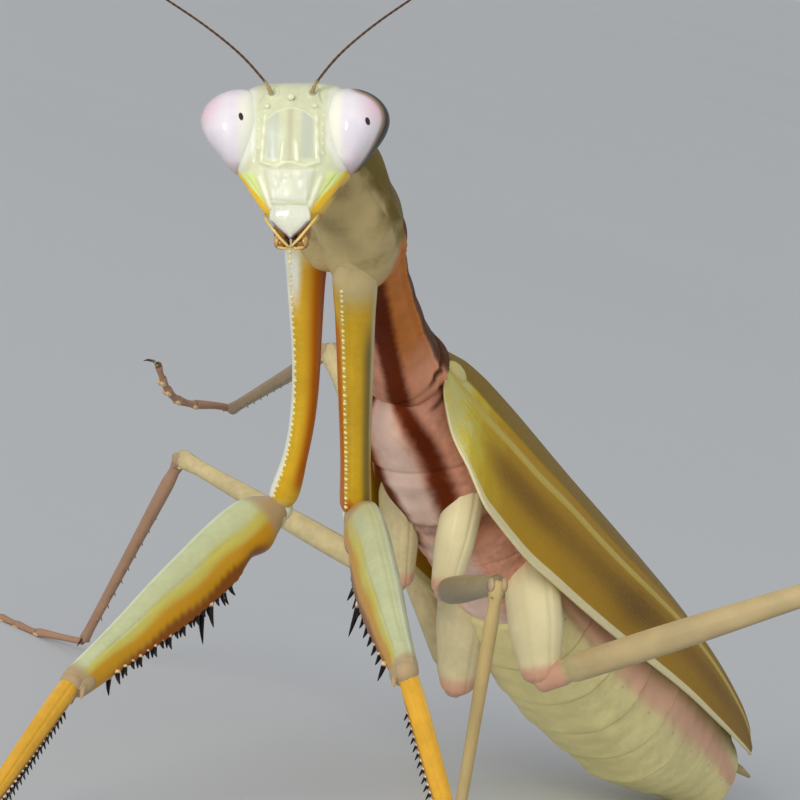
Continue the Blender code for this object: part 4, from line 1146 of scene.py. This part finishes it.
# %% Spines of the fore femur
FEMUR_ROWS = [(0.0, 0.60, 0.66, 0.62), (0.03, 0.70, 0.95, 0.78), (0.08, 0.78, 1.45, 1.10),
              (0.14, 0.86, 1.74, 1.42), (0.21, 0.92, 1.80, 1.16), (0.30, 0.94, 1.76, 1.52),
              (0.42, 0.94, 1.60, 1.62), (0.56, 0.88, 1.40, 1.60), (0.72, 0.76, 1.08, 1.38),
              (0.84, 0.68, 0.88, 1.18), (0.94, 0.62, 0.76, 1.04), (0.985, 0.60, 0.72, 0.96)]
FIRST_SPINE = 0.35
SPINES_SPAN = 0.86 - FIRST_SPINE
SPINE_REACH = [1.00, 1.20, 0.70, 1.90, 0.62, 0.85, 0.60, 0.82, 0.58, 1.00, 0.55, 0.80, 0.55, 0.80, 0.55,
               0.65, 0.90]
LAST = len(SPINE_REACH) - 1
LONGEST = 3


def spine_rows(femur, elbow, length, along, across, top):
    """Spines below the femur: one row of all, and one of every second spine and the longest."""
    for k, reach in enumerate(SPINE_REACH):
        t = FIRST_SPINE + SPINES_SPAN * k / LAST
        deep = smooth([(row[0], row[3]) for row in FEMUR_ROWS], vec(t))[0, 0]
        lean = 0.25 + 0.45 * step(t, 0.34, 0.45)
        for row in (-1, 1):
            if row == -1 or k % 2 == 0 or k == LONGEST:
                root = elbow + along * (length * t) - top * (deep * 0.90) + across * row * 0.36
                grown = reach * (0.85 + 0.15 * row) + 0.12
                tip = root + (along * lean - top * 0.80) * grown + across * row * 0.14
                femur.spine(root, tip, 0.12 + 0.045 * reach, along * 0.14, pale=0.9)


print("spines on each femur:", sum(2 if k % 2 == 0 or k == LONGEST else 1 for k in range(LAST + 1)))

# %% [markdown]
# The femur itself is a flattened club with a small notch below, near its root. It could be one plain
# lens shape, but a groove runs along its upper edge, and between the two rows of spines its lower
# edge is sunk, with a small swelling at each spine. The amber rises a little at each swelling.

# %% Fore femora
FORE_UP = {"left": vec(0.25, -0.04, 0.97), "right": vec(-0.60, -0.38, 0.68)}
FEMORA = {}
for side in SIDE:
    elbow, knee = FORE[side][1:3]
    plates, share, angle, FEMORA[side] = segment(elbow, knee, rounded(0.03, FEMUR_ROWS, 0.03), FORE_UP[side],
                                                 240, 120, 2.15)
    high = np.sin(angle)
    flank = np.abs(np.cos(angle))
    below = high < 0
    spined = step(share, 0.26, 0.33) * step(0.88 - share, 0, 0.08)
    feet = 0.5 + 0.5 * np.cos(2 * np.pi * (share - FIRST_SPINE) / SPINES_SPAN * LAST)
    groove = step(share, 0.1, 0.2) * step(0.92 - share, 0, 0.1)
    relief = 0.05 * within(angle, 92, 4, 8) - 0.06 * within(angle, 68, 4, 8) * groove
    relief -= 0.04 * bell(high - 0.25, 0.06) * step(share, 0.15, 0.3) * step(0.95 - share, 0, 0.1)
    relief += (0.10 + 0.06 * feet) * bell(flank - 0.42, 0.16) * below * spined
    relief -= 0.16 * bell(np.cos(angle), 0.18) * below * spined
    low = -high + 0.06 * np.sin(share * 23) + 0.10 * (1 - step(share, 0.2, 0.9))
    amber = step(low + 0.08 * feet * spined, 0.38, 1.0) * step(share, 0.08, 0.22) * step(0.95 - share, 0, 0.2)
    femur = Shape(*FORE_TINTS)
    femur.grid(puff(plates, relief), olive=0.9 * step(low, -0.48, 0.00) * step(share, 0.03, 0.12),
               gold=step(low, -0.15, 0.42) * step(share, 0.04, 0.14), amber=amber,
               white=0.6 * within(angle, 96, 10, 12),
               knee=0.8 * np.maximum(step(share, 0.92, 0.99), step(0.12 - share, -0.03, 0.04)))
    spine_rows(femur, elbow, np.linalg.norm(knee - elbow), *FEMORA[side])
    femur.make("fore_femur_" + side + "_plate", fore_skin, "fore_femur_" + side, "cream_cuticle")

# %% [markdown]
# Between coxa and femur sits a small joint, the trochanter, and at the far end two pointed lobes
# guard the knee. They could be shaped into the femur's own rings, but they stick out sideways, which
# rings can't do. So they are balls and short blunt spines in one piece of their own.

# %% Trochanters and knee lobes
for side in SIDE:
    elbow, knee = FORE[side][1:3]
    along, across, top = FEMORA[side]
    basis = (across, top, along)
    joint = Shape(*FORE_TINTS)
    joint.ball(elbow + along * 0.15, (0.74, 0.84, 0.80), basis, 32, white=0.9)
    joint.ball(elbow + along * 1.0 - top * 0.20, (0.66, 0.80, 0.75), basis, 28, white=0.5, gold=0.3)
    for row in (-1, 1):
        lobe = knee - along * 0.55 - top * 0.45 + across * row * 0.42
        joint.ball(lobe, (0.22, 0.42, 0.70), basis, 20, knee=1.0)
        joint.spine(lobe + along * 0.3, lobe + along * 1.0 - top * 0.45, 0.22, dark=0.0, knee=1.0)
    joint.ball(knee - along * 0.06, (0.62, 0.64, 0.60), basis, 28, knee=0.9)
    joint.make("fore_knee_" + side + "_lobes", fore_skin, "fore_femur_" + side, "cream_cuticle")

# %% [markdown]
# The fore tibia is a slim rod with a comb of small, close teeth, each leaning towards the tip, and
# it ends in a strong hooked spur. The mantis closes it against the femur like a pocket knife. The
# spur is a curved tube and not a spine, because it bends more than a spine can.

# %% Fore tibiae
FORE_TIBIA_ROWS = [(0.0, 0.40, 0.44, 0.44), (0.06, 0.46, 0.54, 0.54), (0.2, 0.46, 0.58, 0.58),
                   (0.5, 0.43, 0.54, 0.56), (0.85, 0.38, 0.46, 0.48), (1.0, 0.31, 0.35, 0.37)]
TOOTH_COUNT = 18
SPUR = ((-0.5, 0.0), (0.1, 0.35), (0.7, 0.85), (1.1, 1.35), (1.15, 1.75))  # ahead, down
for side in SIDE:
    knee, ankle = FORE[side][2:]
    plates, share, angle, (shin, across, top) = segment(knee, ankle, rounded(0.05, FORE_TIBIA_ROWS, 0.04),
                                                        FEMORA[side][2], 120, 64, 2.1)
    relief = 0.04 * within(angle, 90, 8, 8) - 0.05 * bell(np.sin(angle) - 0.2, 0.08)
    tibia = Shape(*FORE_TINTS)
    tibia.grid(puff(plates, relief), amber=0.65 * step(-np.sin(angle), 0.2, 0.9) * step(share, 0.05, 0.2),
               knee=0.6 * step(0.05 - share, 0, 0.05),
               white=0.25 * within(angle, 90, 30, 20) * step(0.6 - share, 0, 0.4))
    for place in 0.20 + 0.72 * np.arange(TOOTH_COUNT) / (TOOTH_COUNT - 1):
        for row in (-1, 1):
            root = knee + (ankle - knee) * place - top * 0.44 + across * row * 0.20
            tip = root - top * (0.30 + 0.14 * place) + shin * 0.36 + across * row * 0.08
            tibia.spine(root, tip, 0.09, pale=0.9)
    spur = [ankle + shin * ahead - top * down for ahead, down in SPUR]
    tibia.tube(spur, [0.34, 0.32, 0.22, 0.12, 0.03], 16,
               amber=vec(0, 0.2, 0.6, 0.3, 0), dark=vec(0, 0, 0.2, 0.8, 1))
    tibia.make("fore_tibia_" + side + "_plate", shin_skin, "fore_tibia_" + side, "golden_cuticle")

# %% [markdown]
# A mantis foot has five joints, each ending in two soft pads, and a pair of claws. Five short tubes
# would need ten closed ends. One line from heel to toe, with a radius that swells at the end of every
# joint, makes them all. It comes down from the ankle and then lies along the floor, or it curls where
# the foot is held in the air.


# %% A foot
TOE_JOINTS = vec(0.0, 0.44, 0.64, 0.79, 0.89, 1.0)
TOE_SIZES = vec(0.20, 0.19, 0.19, 0.19, 0.17)
FOOT_RINGS = 150
CLAW = ((-0.1, 0.0, 0.0), (0.35, 0.22, 0.10), (0.75, 0.42, -0.02), (0.95, 0.50, -0.2))  # ahead, aside, up


def foot(name, heel, toe, skin, masks, slot, curl=0.0, size=1.15, pad_mask="pink", **tints):
    """A foot from heel to toe; curl is how far its middle bows, in mm."""
    t = np.linspace(0, 1, FOOT_RINGS)
    along = unit(toe - heel)
    side = unit(np.cross(along, (0, 0, 1)))
    top = np.cross(side, along)
    k = np.clip(np.searchsorted(TOE_JOINTS, t) - 1, 0, len(TOE_SIZES) - 1)
    s = (t - TOE_JOINTS[k]) / (TOE_JOINTS[k + 1] - TOE_JOINTS[k])
    r = TOE_SIZES[k] * size * (0.90 + 0.26 * step(s, 0.35, 0.92) - 0.20 * step(s, 0.93, 1.0))
    line = heel + (toe - heel) * t[:, None]
    if curl:
        line = line + top * (curl * np.sin(np.pi * t**BOW))[:, None]
    else:
        down = np.clip(1 - t / TOE_JOINTS[1], 0, 1)
        line[:, 2] = toe[2] + (heel[2] - toe[2]) * down - 0.06 * step(t, 0.4, 0.5)
    flat = np.ones((FOOT_RINGS, 1))
    points, _ = rings(line, flat * side, flat * top, np.stack([r, r, r], 1), 24)
    piece = Shape(*masks)
    piece.grid(points, dark=0.55 * step(s, 0.90, 1.0), **tints)
    for end in TOE_JOINTS[1:-1]:
        i = int(end * (FOOT_RINGS - 1)) - 4
        for half in (-1, 1):
            pad = line[i] + side * half * r[i] * 0.5 - top * r[i] * 0.55 + along * 0.12
            piece.ball(pad, vec(0.13, 0.12, 0.22) * size, (side, top, along), 12, **{pad_mask: 0.45})
    for half in (-1, 1):
        claw = [line[-1] + along * ahead + side * half * aside + top * up for ahead, aside, up in CLAW]
        piece.tube(claw, [0.11, 0.10, 0.07, 0.02], 10, dark=vec(0.2, 0.6, 1, 1))
    piece.ball(line[-1] + along * 0.18, (0.15, 0.12, 0.2), (side, top, along), 12)
    piece.make(name + "_joints", skin, name, slot)


print("claw", round(math.dist(CLAW[0], CLAW[-1]), 2), "mm from root to tip")

# %% [markdown]
# The fore feet carry on from the tibiae. Each heel could sit at the ankle itself, but the spur is in
# the way there, so it sits a little further on and a little above. A mantis stands on these feet too,
# so they reach the floor.

# %% Fore feet
FORE_TOE = {"left": vec(31.6, -20.6, 0.25), "right": vec(12.2, -41.6, 0.25)}
for side in SIDE:
    knee, ankle = FORE[side][2:]
    shin, top = unit(ankle - knee), FEMORA[side][2]
    under = np.cross(shin, unit(np.cross(shin, top)))
    heel = ankle + shin * 0.20 - under * 0.30
    foot("fore_tarsus_" + side, heel, FORE_TOE[side], shin_skin, FORE_TINTS, "golden_cuticle",
         pad_mask="white")

# %% [markdown]
# The four walking legs share one plan and one straw-coloured skin: a stout coxa, a pink joint, a femur
# that thins towards the knee, and a straight thin tibia. They could be modelled one by one, but only
# their sizes and tints differ. So they come from loops, with a table of sizes and a table of tints.

# %% Walking coxae
LEG_TINTS = {"cream": rgb(0.93, 0.88, 0.69), "grey": rgb(0.56, 0.50, 0.37), "red": rgb(0.64, 0.49, 0.40),
             "pink": rgb(0.86, 0.66, 0.54), "gold": rgb(0.74, 0.62, 0.36), "dark": rgb(0.26, 0.19, 0.14)}
leg_skin = cuticle("leg_cuticle", rgb(0.76, 0.69, 0.51), LEG_TINTS, 0.45, 0.12, cloud=0.12)
COXA_SIZE = {"mid": 1.15, "hind": 1.60}
WALKING_COXA_ROWS = [(-0.10, 0.50, 0.50), (0.0, 0.80, 0.82), (0.15, 0.98, 1.0), (0.45, 1.0, 0.95),
                     (0.78, 0.78, 0.78), (0.95, 0.66, 0.68)]
COXA_CREAM = {"mid_left": 0.9, "mid_right": 0.5, "hind_left": 0.8, "hind_right": 0.6}
WALKING = [(kind, side, places[side]) for side in SIDE for kind, places in (("mid", MID), ("hind", HIND))]
for kind, side, (hip, elbow, _, _) in WALKING:
    rows = rounded(0.12, scaled(COXA_SIZE[kind], WALKING_COXA_ROWS), 0.10)
    plates, share, angle, _ = segment(hip, elbow, rows, vec(0, 1, 0), 100, 72, 2.2)
    relief = 0.06 * bell(np.cos(angle) - 0.4, 0.12) - 0.06 * bell(np.sin(angle) + 0.3, 0.08)
    relief += 0.02 * np.sin(9 * share + 2 * angle) - 0.05 * within(angle, 200, 4, 9)
    coxa = Shape(*LEG_TINTS)
    coxa.grid(puff(plates, relief), pink=0.9 * step(share, 0.80, 0.98), cream=COXA_CREAM[kind + "_" + side])
    coxa.make(kind + "_coxa_" + side + "_plate", leg_skin, kind + "_coxa_" + side, "cream_cuticle")

# %% [markdown]
# A walking femur starts in a pink joint, swells, and thins again to a knee with two round plates and
# two small spines. The joint could be a tube of its own, but a groove sunk into the femur looks the
# same and leaves no gap. The tints differ a little from leg to leg.

# %% Walking femora
LEG_UP = vec(0, -0.3, 1)
FEMUR_SIZE = {"mid": 0.66, "hind": 0.75}
JOINT_SHARE = 0.48
WALKING_FEMUR_ROWS = [(0.10, 1.0, 1.1, 1.05), (0.3, 0.98, 1.12, 1.12), (0.7, 0.76, 0.88, 0.88),
                      (0.92, 0.66, 0.72, 0.72), (0.975, 0.80, 0.86, 0.86), (0.995, 0.76, 0.80, 0.80)]
FEMUR_TINT = {"mid_left": {"grey": 0.60}, "mid_right": {"cream": 0.25},
              "hind_left": {"gold": 0.25, "red": 0.3}, "hind_right": {"cream": 0.25}}
for kind, side, (_, elbow, knee, _) in WALKING:
    leg = kind + "_" + side
    size = FEMUR_SIZE[kind]
    joint_size = COXA_SIZE[kind] * JOINT_SHARE
    rows = scaled(joint_size, [(0.0, 1, 1, 1), (0.03, 1, 1, 1)]) + scaled(size, WALKING_FEMUR_ROWS)
    rows = rounded(0.02, rows, 0.02)
    plates, share, angle, (along, across, top) = segment(elbow, knee, rows, LEG_UP, 150, 48, 2.1)
    relief = 0.05 * bell(np.cos(angle), 0.15) - 0.12 * bell(share - 0.075, 0.012)
    relief -= 0.03 * bell(np.sin(angle) - 0.5, 0.1)
    femur = Shape(*LEG_TINTS)
    femur.grid(puff(plates, relief), dark=(0.45 if leg == "mid_left" else 0.2) * step(share, 0.965, 0.985),
               pink=0.9 * step(0.085 - share, 0, 0.03),
               **{mask: strength * step(share, 0.08, 0.14) for mask, strength in FEMUR_TINT[leg].items()})
    for row in (-1, 1):
        femur.ball(knee + across * row * size * 0.5, (size * 0.32, size * 0.62, size * 0.66),
                   (across, top, along), 18, red=0.5, dark=0.2)
        root = knee - along * 0.4 - top * size * 0.6 + across * row * size * 0.5
        femur.spine(root, root + along * 0.75 - top * size * 0.5, 0.12, dark=0.6)
    femur.make(kind + "_femur_" + side + "_plate", leg_skin, kind + "_femur_" + side, "tan_cuticle")

# %% [markdown]
# A walking tibia is a thin straight rod with a slight neck below the knee, two rows of bristles and
# two end spurs. Bristles could be hair, but there are few and they are stiff, so they are fine spines.

# %% Walking tibiae
TIBIA_SIZE = {"mid": 0.38, "hind": 0.47}
TIBIA_ROWS = [(0.0, 0.95, 1.0), (0.03, 1.05, 1.1), (0.07, 0.85, 0.9), (0.14, 1.0, 1.1), (0.5, 0.88, 0.92),
              (0.93, 0.74, 0.78), (0.99, 0.86, 0.86)]
BRISTLE_COUNT = 9
TIBIA_TINT = {"mid_left": {"grey": 0.25, "gold": 0.5}, "mid_right": {"red": 0.75},
              "hind_left": {"gold": 0.35}, "hind_right": {"grey": 0.7, "red": 0.4}}
TIBIA_SLOT = {"mid": "brown_cuticle", "hind": "tan_cuticle"}
for kind, side, (_, _, knee, ankle) in WALKING:
    size = TIBIA_SIZE[kind]
    rows = rounded(0.02, scaled(size, TIBIA_ROWS), 0.012)
    plates, share, angle, (along, across, top) = segment(knee, ankle, rows, LEG_UP, 130, 40, 2.1)
    tibia = Shape(*LEG_TINTS)
    tibia.grid(puff(plates, 0.02 * bell(np.sin(2 * angle), 0.2)), dark=0.25 * step(share, 0.95, 1.0),
               cream=0.5 * step(share, 0.4, 0.9) * (side == "left"), **TIBIA_TINT[kind + "_" + side])
    for row in (-1, 1):
        root = ankle - along * 0.45 + across * row * size * 0.5
        tibia.spine(root, root + along * 0.75 + across * row * 0.32 - top * 0.1, 0.10, dark=0.9)
        for k in range(BRISTLE_COUNT):
            place = knee + (ankle - knee) * (0.30 + 0.07 * k)
            root = place - top * size * 0.6 + across * row * size * 0.4
            tibia.spine(root, root + along * 0.22 - top * 0.16 + across * row * 0.08, 0.04, dark=0.6)
    tibia.make(kind + "_tibia_" + side + "_plate", leg_skin, kind + "_tibia_" + side, TIBIA_SLOT[kind])

# %% [markdown]
# Three of the walking feet stand on the floor. The right hind foot is held up and curls, and it is a
# little thicker. All are made by the function of the fore feet, with pink pads and a reddish tint.

# %% Walking feet
TOES = {"mid_left": vec(24.6, -14.6, 0.25), "mid_right": vec(-34.6, 7.4, 0.25),
        "hind_left": vec(39.4, 29.6, 0.25), "hind_right": vec(-37.9, 21.4, 16.6)}
REDNESS = {"left": 0.4, "right": 0.8}
for kind, side, (_, _, knee, ankle) in WALKING:
    leg = kind + "_" + side
    raised = {"curl": -1.3, "size": 1.4} if leg == "hind_right" else {}
    foot(kind + "_tarsus_" + side, ankle + unit(ankle - knee) * 0.15, TOES[leg], leg_skin, LEG_TINTS,
         TIBIA_SLOT[kind], red=REDNESS[side], **raised)

# %% [markdown]
# The setting is a pale floor so wide that its edge never shows. A plane would do, but a disc looks the
# same from every side. The sky is a dim even grey that fills the shadows.

# %% Floor and world
FLOOR_RADIUS = 60.0
SKY_STRENGTH = 0.50
sand = Paint("studio_floor", 0.7)
pale_floor = sand.mix(rgb(0.80, 0.81, 0.82), rgb(0.83, 0.84, 0.85), sand.noise(0.004))
bpy.ops.mesh.primitive_circle_add(vertices=128, radius=FLOOR_RADIUS, fill_type="NGON", location=(0, 0, 0))
floor = bpy.context.object
floor.name = "floor"
floor.data.materials.append(sand.finish(Base_Color=pale_floor))
floor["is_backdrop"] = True
world = bpy.data.worlds.new("studio")
bpy.context.scene.world = world
world.use_nodes = True
sky = world.node_tree.nodes["Background"].inputs
sky["Color"].default_value = (0.88, 0.90, 0.93, 1.0)
sky["Strength"].default_value = SKY_STRENGTH
print("floor is", floor.dimensions.x, "m across")

# %% [markdown]
# Light decides how soft the wax looks. A single bulb would be harsh, so a broad sun comes from beside
# the face as from a wide window, and a large lamp far behind the camera lifts the shadows. A small
# panel close to the head gives the eyes one clean highlight, and the other two lamps are kept out
# of reflections, so that they don't add more.


# %% Lamps
def lamp(kind, name, place, direction, **settings):
    """A lamp with its settings, aimed along direction."""
    light = bpy.data.lights.new(name, kind)
    for key, value in settings.items():
        setattr(light, key, value)
    holder = bpy.data.objects.new(name, light)
    bpy.context.scene.collection.objects.link(holder)
    holder.location = place
    holder.rotation_euler = Vector(direction).to_track_quat("-Z", "Y").to_euler()
    return holder


sun = lamp("SUN", "window_sun", (0, 0, 1), (-0.22, 0.86, -0.40), energy=1.15, angle=math.radians(22),
           color=(1.0, 0.98, 0.94))
sun.visible_glossy = False
face_at = Vector(((HEAD + ORIGIN) * MM).tolist())
panel_at = Vector((0.04, -0.272, 0.065))
panel = lamp("AREA", "eye_panel", panel_at, face_at - panel_at, shape="ELLIPSE", size=0.048, size_y=0.072,
             energy=0.015, spread=math.radians(50))
panel.visible_camera = False
fill_at = Vector((0.90, -0.95, 0.55))
fill = lamp("AREA", "soft_fill", fill_at, -fill_at, size=0.80, energy=3.0)
fill.visible_camera = False
fill.visible_glossy = False
print("lamps:", [light.name for light in bpy.data.lights])

# %% [markdown]
# The camera stands low in front of the animal, to its left, and leans a little. A long lens from a
# quarter of a metre keeps the head and the far feet in proportion. Its place and its three angles say
# all, so the matrix is built from them.

# %% Camera
LENS = 202.3
SENSOR = 36
AZIMUTH, ELEVATION, ROLL = map(math.radians, (38.18, 6.29, 15.71))
CAMERA_AT = vec(155.7, -199.1, 51.0)
back = Vector((math.sin(AZIMUTH) * math.cos(ELEVATION), -math.cos(AZIMUTH) * math.cos(ELEVATION),
               math.sin(ELEVATION)))
level = Vector((math.cos(AZIMUTH), math.sin(AZIMUTH), 0.0))
across = level * math.cos(ROLL) + back.cross(level) * math.sin(ROLL)
turn = Matrix((across, back.cross(across), back)).transposed()
camera = bpy.data.cameras.new("view")
camera.sensor_width = SENSOR
camera.lens = LENS
camera.clip_start = 0.01
camera.clip_end = 200
viewpoint = bpy.data.objects.new("view", camera)
bpy.context.scene.collection.objects.link(viewpoint)
viewpoint.matrix_world = Matrix.Translation(((CAMERA_AT + ORIGIN) * MM).tolist()) @ turn.to_4x4()
bpy.context.scene.camera = viewpoint
bpy.context.scene.view_settings.view_transform = "Standard"
print("camera height", round(viewpoint.matrix_world.translation.z, 3))

# %% Print the two boxes and finish
size = {"cad": [list(corner) for corner in CAD_BOX], "visual": [list(corner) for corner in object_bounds()]}
print(size)
